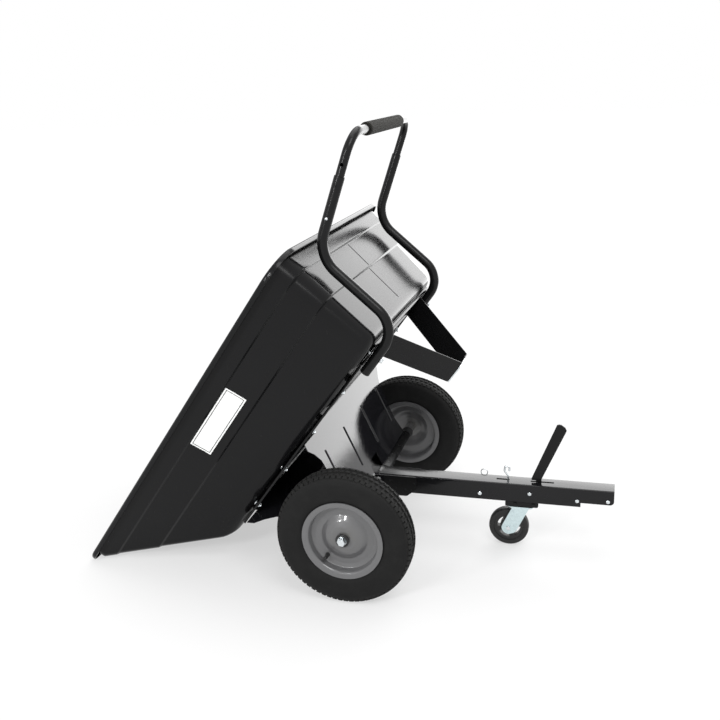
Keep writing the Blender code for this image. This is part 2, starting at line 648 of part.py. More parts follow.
def caster(crown_top):
    """The swivelling fork and its wheel: tread, slotted core, bush and axle bolt."""
    yoke = pivot("caster_swivel_axis", (0.0, SWIVEL_Y, 0.0), parent=ground)
    half = CASTER_WIDTH / 2
    leg_x = half + 0.0042 + FORK_SHEET / 2
    end = Vector((-CASTER_TRAIL, CASTER_RADIUS))
    lean = Vector((math.cos(FORK_LEAN), math.sin(FORK_LEAN)))
    across = Vector((math.sin(FORK_LEAN), -math.cos(FORK_LEAN)))
    height = crown_top - 0.0008

    def at_height(offset):
        start = end + across * offset
        return start.x + lean.x * (height - start.y) / lean.y

    rear, front = at_height(-FORK_END), at_height(FORK_FRONT_OFFSET)
    toe = end + across * FORK_FRONT_OFFSET + lean * 0.010
    facing = math.degrees(FORK_LEAN)
    leg = [(front, height), (rear, height)]
    leg += arc(end, FORK_END, facing + 90, 300, 7)
    leg += [tuple(end + across * FORK_FRONT_OFFSET * 0.88 - lean * 0.006), tuple(toe)]
    crown_outline = [(x, y + (rear + front) / 2)
                     for x, y in rounded_rectangle(leg_x + FORK_SHEET / 2, (front - rear) / 2, 0.004)]
    bore = ring((0, 0), clear_bore(KINGPIN_RADIUS, 12), 12)
    fork = flat("caster_fork", [crown_outline, bore], FORK_SHEET, ZINC, yoke,
                Matrix.Translation((0, 0, crown_top - FORK_SHEET / 2)))
    for side, name in ((-1, "left_leg"), (1, "right_leg")):
        join(fork, flat(name, [leg], FORK_SHEET, ZINC, yoke, Matrix.Translation((side * leg_x, 0, 0)) @ SIDE_PLANE))
    cut(fork, rods("fork_axle_hole", [((-0.05, *end), (0.05, *end))], clear_bore(CASTER_AXLE_RADIUS, 8),
                   ZINC, yoke, 8))
    reach = leg_x + FORK_SHEET / 2 + CLEARANCE
    bolt("caster_axle_bolt", (-reach, *end), (reach, *end), CASTER_AXLE_RADIUS, 0.0075, 0.004, ZINC, yoke)

    axle = pivot("caster_wheel_axis", (0.0, *end), parent=yoke)
    core = clear_bore(CASTER_CORE, CASTER_SIDES)
    tread = [(CASTER_RADIUS - 0.004, half), (CASTER_RADIUS, half - 0.007), (CASTER_RADIUS, -half + 0.007),
             (CASTER_RADIUS - 0.004, -half), (core, -half + 0.002), (core, half - 0.002)]
    turned("caster_tread", tread, RUBBER, axle, (0, 0, 0), "X", CASTER_SIDES, closed=True)
    disc = [ring((0, 0), CASTER_CORE, CASTER_SIDES), ring((0, 0), clear_bore(CASTER_BUSH_RADIUS, 12), 12)]
    for i in range(CASTER_SLOTS):
        middle = 152 + 360 * i / CASTER_SLOTS
        a, b = middle - CASTER_SLOT_SPAN / 2, middle + CASTER_SLOT_SPAN / 2
        disc.append(arc((0, 0), CASTER_SLOT_OUTER, a, b, 5) + arc((0, 0), CASTER_SLOT_INNER, b, a, 4))
    flat("caster_core", disc, CASTER_WIDTH - 0.008, BLACK_PLASTIC, axle, SIDE_PLANE)
    long = half + 0.003
    bore = clear_bore(CASTER_AXLE_RADIUS, 10)
    bush = [(CASTER_BUSH_RADIUS, long), (CASTER_BUSH_RADIUS, -long), (bore, -long), (bore, long)]
    turned("caster_bush", bush, ZINC, axle, (0, 0, 0), "X", 10, closed=True)


def wheel(side, name):
    """One pneumatic wheel: tyre, two pressed rim halves, hub, bushes, valve, washer and nut."""
    carrier = pivot("wheel_axis_" + name, (side * WHEEL_X, 0.0, AXLE_Z), parent=ground)
    bead = RIM_HALF_WIDTH - RIM_SHEET - 0.0008
    seat = BEAD_SEAT + 0.0006
    belly = (RIM_RADIUS + TYRE_RADIUS) / 2
    outer = [(seat, bead - 0.0045), (seat + 0.0045, bead - 0.0004), (RIM_RADIUS + 0.004, bead),
             (belly - 0.013, TYRE_HALF_WIDTH - 0.001), (belly + 0.012, TYRE_HALF_WIDTH - 0.0005),
             (TYRE_RADIUS - 0.009, TREAD_HALF_WIDTH), (TYRE_RADIUS, 0.012)]
    inner = [(TYRE_RADIUS - 0.014, 0.022), (belly, TYRE_HALF_WIDTH - 0.006), (seat, bead - 0.013)]
    profile = outer + [(r, -x) for r, x in reversed(outer)] + [(r, -x) for r, x in reversed(inner)] + inner
    turned("tyre_" + name, profile, RUBBER, carrier, (0, 0, 0), "X", TYRE_SIDES, closed=True)

    barrel = BEAD_SEAT - RIM_SHEET / 2
    lip = [(RIM_RADIUS, RIM_HALF_WIDTH), (barrel + 0.0052, RIM_HALF_WIDTH - 0.0015),
           (barrel, RIM_HALF_WIDTH - 0.0050)]
    disc = [(barrel - 0.0010, DISC_MATE + 0.0050), (WELL_RADIUS, DISC_MATE), (DISH_RADIUS, DISC_MATE),
            (DISH_RADIUS - 0.016, DISC_MATE + 0.0100), (HUB_RADIUS + 0.020, DISC_MATE + 0.0170),
            (HUB_RADIUS + CLEARANCE, DISC_MATE + 0.0190)]
    face = [(r, side * x) for r, x in lip + disc]
    mate = DISC_MATE - RIM_SHEET - CLEARANCE
    back = [(r, -side * x) for r, x in lip]
    back += [(r, side * x) for r, x in ((barrel - 0.0010, mate - 0.0040), (WELL_RADIUS, mate), (DISH_RADIUS + 0.002, mate))]
    hole = valve_place(side)
    for label, path in (("outer", face), ("inner", back)):
        half = turned("rim_%s_%s" % (label, name), path, GREY_STEEL, carrier, (0, 0, 0), "X", RIM_SIDES)
        thicken(half, RIM_SHEET)
        if label == "outer":
            cut(half, rods("valve_hole_" + name, [((-0.06, *hole), (0.06, *hole))], VALVE_RADIUS + 0.0004,
                           GREY_STEEL, carrier, 12))
    length = HUB_HALF_LENGTH
    bore = clear_bore(HUB_BORE, 16)
    turned("hub_" + name, [(HUB_RADIUS, length), (HUB_RADIUS, -length), (bore, -length), (bore, length)],
           GREY_STEEL, carrier, (0, 0, 0), "X", 16, closed=True)
    shaft = clear_bore(AXLE_RADIUS, 12)
    for label, out in (("outer", side), ("inner", -side)):
        face_x, far_x, deep_x = length + CLEARANCE, length + BUSH_FLANGE, length - BUSH_DEPTH
        bush = [(HUB_BORE, deep_x), (HUB_BORE, face_x), (BUSH_FLANGE_RADIUS, face_x),
                (BUSH_FLANGE_RADIUS, far_x), (shaft, far_x), (shaft, deep_x)]
        turned("hub_bush_%s_%s" % (label, name), [(r, out * x) for r, x in bush], NYLON, carrier,
               (0, 0, 0), "X", 12, closed=True)
    y, z = hole
    rods("valve_" + name, [((side * (DISC_MATE - 0.001), y, z), (side * (RIM_HALF_WIDTH - 0.003), y, z))],
         VALVE_RADIUS, RUBBER, carrier, 10)
    washer_start = length + BUSH_FLANGE + CLEARANCE
    nut_start = washer_start + 0.0016 + CLEARANCE
    washer = [(NUT_RADIUS, washer_start), (NUT_RADIUS, nut_start - CLEARANCE), (shaft, nut_start - CLEARANCE),
              (shaft, washer_start)]
    bore = clear_bore(AXLE_RADIUS, 12)
    nut = [(NUT_RADIUS, nut_start), (NUT_RADIUS, nut_start + 0.0065), (NUT_RADIUS - 0.0012, nut_start + 0.0090),
           (bore, nut_start + 0.0090), (bore, nut_start)]
    place = (side * WHEEL_X, 0, AXLE_Z)
    turned("axle_washer_" + name, [(r, side * x) for r, x in washer], ZINC, ground, place, "X", 12, closed=True)
    turned("axle_nut_" + name, [(r, side * x) for r, x in nut], ZINC, ground, place, "X", 12, closed=True)


def valve_place(side):
    """The valve's place on the wheel's face, (y, z) from the axle."""
    return -VALVE_PLACE[0], -VALVE_PLACE[1] * side


def tub_ring(bm, depth, inset, front, rear, corner):
    """One level of the tub: a tapered rectangle with round corners, inset from the rim's edge."""
    height = TUB_RIM_ABOVE_AXLE - depth
    points = []
    corners = ((1, front, TUB_HALF_WIDTH_FRONT, 0, 1), (-1, front, TUB_HALF_WIDTH_FRONT, 90, 1),
               (-1, rear, TUB_HALF_WIDTH_REAR, 180, -1), (1, rear, TUB_HALF_WIDTH_REAR, 270, -1))
    for sx, y, half, start, ahead in corners:
        radius = corner if ahead > 0 else corner * REAR_CORNER_SHARE
        centre = (sx * (half - inset - radius), y - ahead * radius)
        points += arc(centre, radius, start, start + 90, CORNER_STEPS)
    return [bm.verts.new((x, y, height)) for x, y in points]


def wall_place(depth, wall=0.0):
    """The wall's inset, front and rear at one depth, moved inwards by a share of its thickness."""
    draft = depth / (TUB_DEPTH - FLOOR_EDGE_RADIUS)
    steps = sum(LEDGE_STEP for ledge in (UPPER_LEDGE_DEPTH, LOWER_LEDGE_DEPTH) if depth > ledge)
    inset = RIM_FLANGE + SIDE_DRAFT * draft + steps + wall
    front = TUB_FRONT - RIM_FLANGE * 0.85 - FRONT_DRAFT * draft - steps - wall
    rear = TUB_REAR + RIM_FLANGE * 0.7 + REAR_SLOPE * max(depth - REAR_SLOPE_DEPTH, 0.0)
    corner = RIM_CORNER - RIM_FLANGE + (FLOOR_CORNER - RIM_CORNER + RIM_FLANGE) * draft
    return inset, front, rear + wall * math.hypot(1, REAR_SLOPE), corner - wall


def tub_skin(wall=0.0):
    """Levels of the tub's wall from under the rim down to the floor."""
    depths = [REAR_SLOPE_DEPTH, UPPER_LEDGE_DEPTH - 0.001, UPPER_LEDGE_DEPTH + 0.004,
              LOWER_LEDGE_DEPTH - 0.001, LOWER_LEDGE_DEPTH + 0.004, TUB_DEPTH - FLOOR_EDGE_RADIUS]
    skin = [(depth, *wall_place(depth, wall)) for depth in depths]
    depth, inset, front, rear, corner = skin[-1]
    radius = FLOOR_EDGE_RADIUS - wall
    for angle in (30, 60, 90):
        drop = radius * math.sin(math.radians(angle))
        pull = radius * (1 - math.cos(math.radians(angle)))
        skin.append((depth + drop, inset + pull, front - pull, rear + pull + drop * REAR_SLOPE, corner - pull * 0.5))
    return skin


def loft(levels, capped_below, capped_above):
    """A surface through the tub's levels, lowest first."""
    bm = bmesh.new()
    rings = [tub_ring(bm, *level) for level in levels]
    for low, high in zip(rings, rings[1:]):
        for i in range(len(low)):
            j = (i + 1) % len(low)
            bm.faces.new((low[i], low[j], high[j], high[i]))
    if capped_below:
        bm.faces.new(list(reversed(rings[0])))
    if capped_above:
        bm.faces.new(rings[-1])
    return bm


def tub_shell():
    """The moulded tub: stepped walls, sloping rear wall, rolled rim and ribbed floor."""
    bend = RIM_BEND
    inset, front, rear, corner = wall_place(TUB_WALL)

    def flange(depth, offset):
        return depth, offset, TUB_FRONT - offset, TUB_REAR + offset, RIM_CORNER - offset

    levels = tub_skin()[::-1]
    levels += [(TUB_WALL + bend, *wall_place(TUB_WALL + bend)),
               (TUB_WALL, inset - bend, front + bend, rear - bend, corner + bend),
               flange(TUB_WALL, TUB_WALL + bend), flange(TUB_WALL + bend, TUB_WALL), flange(RIM_LIP, TUB_WALL)]
    surface = loft(levels, True, False)
    mesh = bpy.data.meshes.new("tub_shell")
    surface.to_mesh(mesh)
    surface.free()
    shell = add("tub_shell", soften(mesh, 30), BLACK_PLASTIC, tub)
    thicken(shell, TUB_WALL, -1.0)
    middle = TUB_WALL / 2
    solid = loft(tub_skin(middle)[::-1], True, True)
    envelope = add("tub_envelope", from_bmesh("tub_envelope", solid), BLACK_PLASTIC, tub)
    ribs = floor_ribs("rib_tops", TUB_WALL, 0.002)
    boolean(ribs, envelope, "INTERSECT")
    join(shell, ribs)
    cut(shell, floor_ribs("rib_grooves", 0.0, -0.02))


def floor_ribs(name, grow, below):
    """The floor's pressed cross ribs as prisms, grown by the wall where they are the inner side."""
    flare = 0.006 if below > 0 else 0.018
    high = FLOOR_Z + FLOOR_RIB_HEIGHT + grow
    outlines = []
    for i in range(FLOOR_RIBS):
        middle = FLOOR_RIB_FIRST + i * FLOOR_RIB_PITCH
        wide = FLOOR_RIB_WIDTH / 2 + grow
        outlines.append([(middle - wide - flare, FLOOR_Z + below), (middle + wide + flare, FLOOR_Z + below),
                         (middle + wide - 0.004, high), (middle - wide + 0.004, high)])
    return flat(name, outlines, 2 * TUB_HALF_WIDTH_FRONT, BLACK_PLASTIC, tub, SIDE_PLANE)


def saddle_plate(name, reach):
    """One leg of the V saddle: pressed sheet from the axle up to the tub's floor."""
    top = FLOOR_Z - CLEARANCE
    slope = math.atan2(top, reach)
    along = Vector((0, math.cos(slope), math.sin(slope)))
    normal = Vector((1, 0, 0)).cross(along)
    place = Matrix(((1, along[0], normal[0], 0), (0, along[1], normal[1], 0), (0, along[2], normal[2], 0),
                    (0, 0, 0, 1)))
    rise = math.sin(slope)
    length = (top - SADDLE_SHEET * 0.6) / rise
    ear = (top - RAIL_DROP - 0.004) / rise
    start = PIVOT_TUBE_RADIUS + CLEARANCE
    inner_edge = RAIL_HALF_SPACING - RAIL_LEG - 0.004
    right = [(PIVOT_TUBE_INNER_END, start), (PIVOT_TUBE_OUTER_END - 0.004, start),
             (SADDLE_WAIST + 0.012, start + 0.030), (SADDLE_WAIST, start + 0.065), (SADDLE_WAIST, start + 0.105),
             (SADDLE_WAIST + 0.010, ear - 0.075), (SADDLE_WAIST + 0.032, ear - 0.045),
             (SADDLE_HALF_WIDTH, ear - 0.022), (SADDLE_HALF_WIDTH, ear), (inner_edge, ear), (inner_edge, length)]
    left = [(-x, y) for x, y in reversed(right)]
    gap = NOTCH_HEIGHT / rise
    outline = right + left + [(-PIVOT_TUBE_INNER_END, gap), (PIVOT_TUBE_INNER_END, gap)]
    plate = flat(name, [outline], SADDLE_SHEET, BLACK_STEEL, tub, place)
    edge = (top - SADDLE_SHEET / 2) / math.tan(slope)
    join(plate, box(name + "_flange", (-inner_edge, edge - SADDLE_SHEET * 0.4, top - SADDLE_SHEET),
                    (inner_edge, edge + SADDLE_FLANGE, top), BLACK_STEEL, tub))
    out = math.copysign(BEAD_SINK, -reach)
    beads = [(place @ Vector((x, BEAD_START, out)), place @ Vector((x, BEAD_END, out))) for x in BEAD_STATIONS]
    join(plate, rods(name + "_beads", beads, BEAD_RADIUS, BLACK_STEEL, tub, 6))


def saddle():
    """The V saddle's two plates and its pivot tubes on the axle."""
    saddle_plate("saddle_front_plate", SADDLE_FRONT_REACH)
    saddle_plate("saddle_rear_plate", SADDLE_REAR_REACH)
    bore = clear_bore(AXLE_RADIUS, 16)
    for side, name in ((-1, "left"), (1, "right")):
        near, far = side * PIVOT_TUBE_INNER_END, side * PIVOT_TUBE_OUTER_END
        turned("pivot_tube_" + name, [(PIVOT_TUBE_RADIUS, near), (PIVOT_TUBE_RADIUS, far), (bore, far), (bore, near)],
               BLACK_STEEL, tub, (0, 0, 0), "X", 16, closed=True)


def bed_rails():
    """The angle rails under the tub's floor edges."""
    outer = RAIL_HALF_SPACING - RAIL_SHEET / 2
    top = FLOOR_Z - CLEARANCE - RAIL_SHEET / 2
    for side, name in ((-1, "left"), (1, "right")):
        path = [(side * (RAIL_HALF_SPACING - RAIL_LEG), top), (side * outer, top),
                (side * outer, top - RAIL_DROP + RAIL_SHEET / 2)]
        sheet("bed_rail_" + name, fillet(path, (0.003,), 2), RAIL_SHEET, RAIL_REAR, RAIL_FRONT, BLACK_STEEL, tub)


def cross_member():
    """The upturned channel under the tub's front, which carries the stand and the handle."""
    rear, front = STAND_REAR + RAIL_SHEET / 2, STAND_FRONT - RAIL_SHEET / 2
    web = CROSS_BOTTOM + RAIL_SHEET / 2
    top = FLOOR_Z - CLEARANCE
    corners = [(rear, top), (rear, web), (front, web), (front, top)]
    member = sheet("bed_cross_member", fillet(corners, (0.005, 0.005), 3), RAIL_SHEET,
                   -RAIL_HALF_SPACING, RAIL_HALF_SPACING, BLACK_STEEL, tub, "X")
    cut(member, handle_bolt_holes("member_holes"))


def handle_bolt_holes(name):
    """Clearance cutters for the bolts that hold the handle to the cross member."""
    ends = [((side * HANDLE_HALF_SPACING, STAND_CENTRE, CROSS_BOTTOM - 0.05),
             (side * HANDLE_HALF_SPACING, STAND_CENTRE, CROSS_BOTTOM + 0.008)) for side in (-1, 1)]
    return rods(name, ends, clear_bore(CROSS_BOLT_RADIUS, 8), ZINC, tub, 8)


def front_stand():
    """The V stand of two bent straps and the foot that rests on the drawbar."""
    root = CROSS_BOTTOM - CLEARANCE - STAND_SHEET / 2
    low = FOOT_BOTTOM + FOOT_SHEET + CLEARANCE + STAND_SHEET / 2
    for side, name in ((-1, "left"), (1, "right")):
        path = [(side * (STAND_ROOT + 0.038), root), (side * STAND_ROOT, root),
                (side * FOOT_HALF_WIDTH, low), (side * STRAP_GAP, low)]
        sheet("stand_strap_" + name, fillet(path, (0.006, 0.006), 3), STAND_SHEET,
              STAND_REAR, STAND_FRONT, BLACK_STEEL, tub)
    box("stand_foot", (-FOOT_HALF_WIDTH, STAND_REAR, FOOT_BOTTOM),
        (FOOT_HALF_WIDTH, STAND_FRONT - LEVER_JAW, FOOT_BOTTOM + FOOT_SHEET), ZINC, tub)


def sleeve_point(reach):
    """A point on the handle's sloping line at a distance ahead of the axle, in the tub's side plane."""
    return reach, HANDLE_SHOULDER[1] + (reach - HANDLE_SHOULDER[0]) * math.tan(HANDLE_PITCH)


def handle():
    """The push handle: two bent sleeves on the tub, and the loop that slides down into them."""
    origin = Vector((0.0, *sleeve_point(HANDLE_SLEEVE_END)))
    slide = pivot("handle_slide", origin, parent=tub)

    def place(x, reach):
        return Vector((x, *sleeve_point(reach))) - origin

    for side, name in ((-1, "left"), (1, "right")):
        x = side * HANDLE_HALF_SPACING
        corners = [(x, HANDLE_END, HANDLE_LOW_Z), (x, HANDLE_FOOT_CORNER, HANDLE_LOW_Z), (x, *HANDLE_SHOULDER),
                   (x, *sleeve_point(HANDLE_SLEEVE_END))]
        sleeve = tube("handle_tube_" + name, fillet(corners, (HANDLE_FOOT_BEND, HANDLE_SHOULDER_BEND), 5),
                      HANDLE_RADIUS, BLACK_STEEL, tub, 3)
        bore = clear_bore(LOOP_RADIUS, 16)
        deep, mouth = sleeve_point(SLEEVE_BORE_START), sleeve_point(HANDLE_SLEEVE_END + 0.02)
        low_end = ((x, HANDLE_END - 0.01, HANDLE_LOW_Z), (x, HANDLE_END + 0.03, HANDLE_LOW_Z))
        holes = [((x, *sleeve_point(BUTTON_STATION)), (x + side * 0.03, *sleeve_point(BUTTON_STATION)))]
        cut(sleeve,
            rods("sleeve_bores_" + name, [((x, *deep), (x, *mouth)), low_end], bore, BLACK_STEEL, tub, 16),
            rods("sleeve_holes_" + name, holes, clear_bore(BUTTON_RADIUS, 10), BLACK_STEEL, tub, 10),
            handle_bolt_holes("foot_hole_" + name))
        bolt("handle_foot_bolt_" + name, (x, STAND_CENTRE, CROSS_BOTTOM + RAIL_SHEET + CLEARANCE),
             (x, STAND_CENTRE, HANDLE_LOW_Z - HANDLE_RADIUS - CLEARANCE), CROSS_BOLT_RADIUS, 0.0075, 0.005,
             ZINC, tub, "Z")
        snap_button(side, name, (x, *sleeve_point(BUTTON_STATION)))

    x = HANDLE_HALF_SPACING
    corners = [place(-x, LOOP_START), place(-x, HANDLE_GRIP_REACH), place(x, HANDLE_GRIP_REACH), place(x, LOOP_START)]
    loop = tube("handle_loop", fillet(corners, (LOOP_CORNER, LOOP_CORNER), 5), LOOP_RADIUS, BLACK_STEEL, slide, 3)
    bores = [(place(s * x, LOOP_START - 0.01), place(s * x, HANDLE_GRIP_REACH - LOOP_CORNER)) for s in (-1, 1)]
    stations = (BUTTON_STATION, BUTTON_STATION + HANDLE_TRAVEL * math.cos(HANDLE_PITCH))
    holes = [(place(s * x, station), place(s * (x + 0.03), station)) for s in (-1, 1) for station in stations]
    cut(loop,
        rods("loop_bores", bores, LOOP_RADIUS - LOOP_WALL, BLACK_STEEL, slide, 12),
        rods("loop_holes", holes, BUTTON_RADIUS + 0.0008, BLACK_STEEL, slide, 8))
    end = GRIP_HALF_LENGTH
    bore = clear_bore(LOOP_RADIUS, 16)
    grip = [(GRIP_RADIUS - 0.003, end), (GRIP_RADIUS, end - 0.004), (GRIP_RADIUS, -end + 0.004),
            (GRIP_RADIUS - 0.003, -end), (bore, -end), (bore, end)]
    turned("handle_grip", grip, FOAM, slide, place(0.0, HANDLE_GRIP_REACH), "X", 16, closed=True)


def snap_button(side, name, place):
    """One button: a round stud in the sleeve's wall, which pushes in through the loop's hole to lock it."""
    carrier = pivot("button_axis_" + name, place, parent=tub)
    proud = HANDLE_RADIUS + BUTTON_PROUD
    root = LOOP_RADIUS + CLEARANCE
    profile = [(0.0, proud), (BUTTON_RADIUS * 0.6, proud - 0.0005), (BUTTON_RADIUS, proud - 0.002),
               (BUTTON_RADIUS, root), (0.0, root)]
    turned("snap_button_" + name, [(r, side * x) for r, x in profile], ZINC, carrier, (0, 0, 0), "X", 10)


drawbar()
nose_channel()
axle_and_bracket()
cross_bolts()
release_lever()
lock_pin()
caster_bracket()
caster(caster_mount())
wheel(-1, "left")
wheel(1, "right")
tub_shell()
saddle()
bed_rails()
cross_member()
front_stand()
handle()
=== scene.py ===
"""The garden tractor trailer's looks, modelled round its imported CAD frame.

Left is -X and right is +X, the side that faces the camera. The tub's own pieces are drawn level, with
Y and Z measured from the axle, and are then tipped back as the CAD model's are.
"""
import json
import math

import bpy
from mathutils import Matrix, Vector

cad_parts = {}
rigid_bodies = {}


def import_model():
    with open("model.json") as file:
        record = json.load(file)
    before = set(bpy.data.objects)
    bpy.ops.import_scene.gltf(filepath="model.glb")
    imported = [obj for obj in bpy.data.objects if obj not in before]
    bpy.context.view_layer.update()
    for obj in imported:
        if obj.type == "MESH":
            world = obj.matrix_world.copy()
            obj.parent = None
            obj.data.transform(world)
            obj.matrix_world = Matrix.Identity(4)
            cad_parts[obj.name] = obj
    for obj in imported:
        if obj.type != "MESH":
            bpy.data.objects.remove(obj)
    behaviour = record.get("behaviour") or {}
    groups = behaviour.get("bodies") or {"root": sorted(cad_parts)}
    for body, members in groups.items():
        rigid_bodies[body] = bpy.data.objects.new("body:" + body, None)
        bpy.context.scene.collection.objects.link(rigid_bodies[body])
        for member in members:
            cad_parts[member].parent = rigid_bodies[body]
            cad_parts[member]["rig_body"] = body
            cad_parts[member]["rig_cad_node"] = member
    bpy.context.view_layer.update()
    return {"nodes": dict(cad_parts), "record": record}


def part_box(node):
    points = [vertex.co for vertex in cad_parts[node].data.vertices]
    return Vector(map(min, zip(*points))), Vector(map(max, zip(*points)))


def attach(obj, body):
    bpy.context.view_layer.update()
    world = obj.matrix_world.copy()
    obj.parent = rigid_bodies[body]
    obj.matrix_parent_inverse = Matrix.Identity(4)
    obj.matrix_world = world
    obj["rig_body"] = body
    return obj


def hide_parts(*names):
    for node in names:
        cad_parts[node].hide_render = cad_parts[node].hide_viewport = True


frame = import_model()


def middle(node):
    """The middle of a CAD node's box."""
    low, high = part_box(node)
    return (low + high) / 2


# Where the tub hangs: the axle, and how far the tub is tipped back, read from the grip's place
AXLE = middle("axle_shaft")
WHEEL_X = middle("hub_right").x
GRIP_REACH = 0.929
GRIP_RISE = 0.63797
GRIP = middle("handle_grip")
TIP = math.atan2(GRIP.z - AXLE.z, GRIP.y - AXLE.y) - math.atan2(GRIP_RISE, GRIP_REACH)
TIPPED = Matrix.Translation(AXLE) @ Matrix.Rotation(TIP, 4, "X")
LEFT_SIDE = (Matrix.Translation((0, 0, AXLE.z)) @ Matrix.Rotation(math.pi, 4, "Y")
             @ Matrix.Translation((0, 0, -AXLE.z)))
BODY_OF = {node: body for body, nodes in frame["record"]["behaviour"]["bodies"].items() for node in nodes}
SIDES = ((-1, "left"), (1, "right"))
WHEEL_PLACE = (WHEEL_X, AXLE.y, AXLE.z)

# The tub's own sizes, in metres
HALF_REAR = 0.4065
HALF_FRONT = 0.4975
TUB_FRONT = 0.606
TUB_REAR = -0.6883
RIM_TOP = 0.595
TUB_DEPTH = 0.331
TUB_WALL = 0.0045
FLANGE = 0.022
RIM_LIP = 0.017
RIM_BEND = 0.003
RIM_CORNER = 0.100
FLOOR_CORNER = 0.055
REAR_CORNER_SHARE = 0.4
LEDGES = (0.064, 0.161)
LEDGE_STEP = 0.007
SIDE_DRAFT = 0.060
FRONT_DRAFT = 0.040
REAR_SLOPE = 1.1189
REAR_SLOPE_DEPTH = 0.034
FLOOR_EDGE = 0.033
CORNER_STEPS = 12
FLOOR_Z = RIM_TOP - TUB_DEPTH
RIB_STATIONS = [-0.242 + 0.160 * i for i in range(5)]
RIB_HALF = 0.024
RIB_RISE = 0.010

# The steel under the tub and the push handle, in the same measure
CLEARANCE = 0.0003
RAIL_SHEET = 0.003
RAIL_X = 0.325
STAND_SHEET = 0.003
STAND_BOLT_X = 0.2330
CROSS_DEPTH = 0.0055
CROSS_LOW = FLOOR_Z - RAIL_SHEET - 2 * CLEARANCE - CROSS_DEPTH
SLEEVE_RADIUS = 0.015
SLEEVE_LOW_Z = CROSS_LOW - CLEARANCE - SLEEVE_RADIUS
SLEEVE_START = 0.405
SLEEVE_CORNER = 0.575
SLEEVE_SHOULDER = (0.600, 0.5355)
SLEEVE_PITCH = math.radians(17.3)
SLEEVE_END = 0.815
FOOT_BOLT_Y = 0.4655
RIVET_STATION = 0.703
LOOP_START = 0.742
BUTTON_STATION = 0.792
LOCK_STATION = 0.84585
GRIP_HALF = 0.188

# The bolts through the drawbar
BOLT_RADIUS = 0.0038
BOLT_SEAT = 0.0323


# Modelling steps

def put_down():
    """Leaves edit mode."""
    bpy.ops.object.mode_set(mode="OBJECT")


def alone(piece):
    """Makes a piece the only selected one, and the active one."""
    bpy.ops.object.select_all(action="DESELECT")
    piece.select_set(True)
    bpy.context.view_layer.objects.active = piece
    return piece


def named(piece, name):
    """Names a piece and its mesh."""
    piece.name = name
    piece.data.name = name
    return piece


def added(name, kind, place=(0, 0, 0), turn=(0, 0, 0), **sizes):
    """A new primitive at its size and place, with its object at the origin."""
    bpy.ops.object.select_all(action="DESELECT")
    getattr(bpy.ops.mesh, "primitive_%s_add" % kind)(location=place, rotation=turn, **sizes)
    bpy.ops.object.transform_apply(location=True, rotation=True, scale=True)
    return named(bpy.context.active_object, name)


def opened(piece, kind="VERT"):
    """Goes into edit mode with everything selected."""
    alone(piece)
    bpy.ops.object.mode_set(mode="EDIT")
    bpy.ops.mesh.select_mode(type=kind)
    bpy.ops.mesh.select_all(action="SELECT")


def picked(piece, kind, test):
    """Goes into edit mode with the points, edges or faces selected that pass a test of their place."""
    put_down()
    opened(piece, kind)
    bpy.ops.mesh.select_all(action="DESELECT")
    put_down()
    points = piece.data.vertices
    if kind == "VERT":
        for point in points:
            point.select = bool(test(point.co))
    elif kind == "EDGE":
        for edge in piece.data.edges:
            edge.select = bool(test(*(points[i].co for i in edge.vertices)))
    else:
        for face in piece.data.polygons:
            face.select = bool(test(face.center, face.normal))
    bpy.ops.object.mode_set(mode="EDIT")


def welded(piece):
    """Merges a piece's doubled points and turns its faces outwards."""
    opened(piece)
    bpy.ops.mesh.remove_doubles(threshold=0.00001)
    bpy.ops.mesh.normals_make_consistent(inside=False)
    put_down()
    return piece


def worked(piece, kind, **settings):
    """Adds one modifier and applies it."""
    alone(piece)
    modifier = piece.modifiers.new(kind.lower(), kind)
    for name, value in settings.items():
        setattr(modifier, name, value)
    bpy.ops.object.modifier_apply(modifier=modifier.name)
    return piece


def edged(piece, width, segments=2, angle=30):
    """Rounds a piece's sharp edges."""
    return worked(piece, "BEVEL", width=width, segments=segments, limit_method="ANGLE",
                  angle_limit=math.radians(angle))


def smoothed(piece, angle=35):
    """Smooth shading up to an angle, with the large faces kept flat."""
    alone(piece)
    bpy.ops.object.shade_smooth_by_angle(angle=math.radians(angle))
    return worked(piece, "WEIGHTED_NORMAL", keep_sharp=True)


def moved(piece, matrix):
    """Moves a piece by a matrix that is then applied to its mesh."""
    alone(piece)
    piece.matrix_world = matrix @ piece.matrix_world
    bpy.ops.object.transform_apply(location=True, rotation=True, scale=True)
    return piece


def copied(piece, name):
    """A copy with a mesh of its own."""
    alone(piece)
    bpy.ops.object.duplicate()
    return named(bpy.context.active_object, name)


def joined(name, *pieces):
    """Several meshes as one piece."""
    alone(pieces[0])
    for piece in pieces:
        piece.select_set(True)
    bpy.ops.object.join()
    return named(bpy.context.active_object, name)


def dropped(piece):
    """Deletes a pattern or a cutter that has done its work."""
    alone(piece)
    bpy.ops.object.delete()


def facing(direction):
    """The turn that stands Z along a direction."""
    return Vector(direction).to_track_quat("Z", "Y")


def stood(pattern, name, place, direction):
    """A copy of a fastener, standing on a point and facing a direction."""
    turn = facing(direction).to_matrix().to_4x4()
    return moved(copied(pattern, name), Matrix.Translation(place) @ turn)


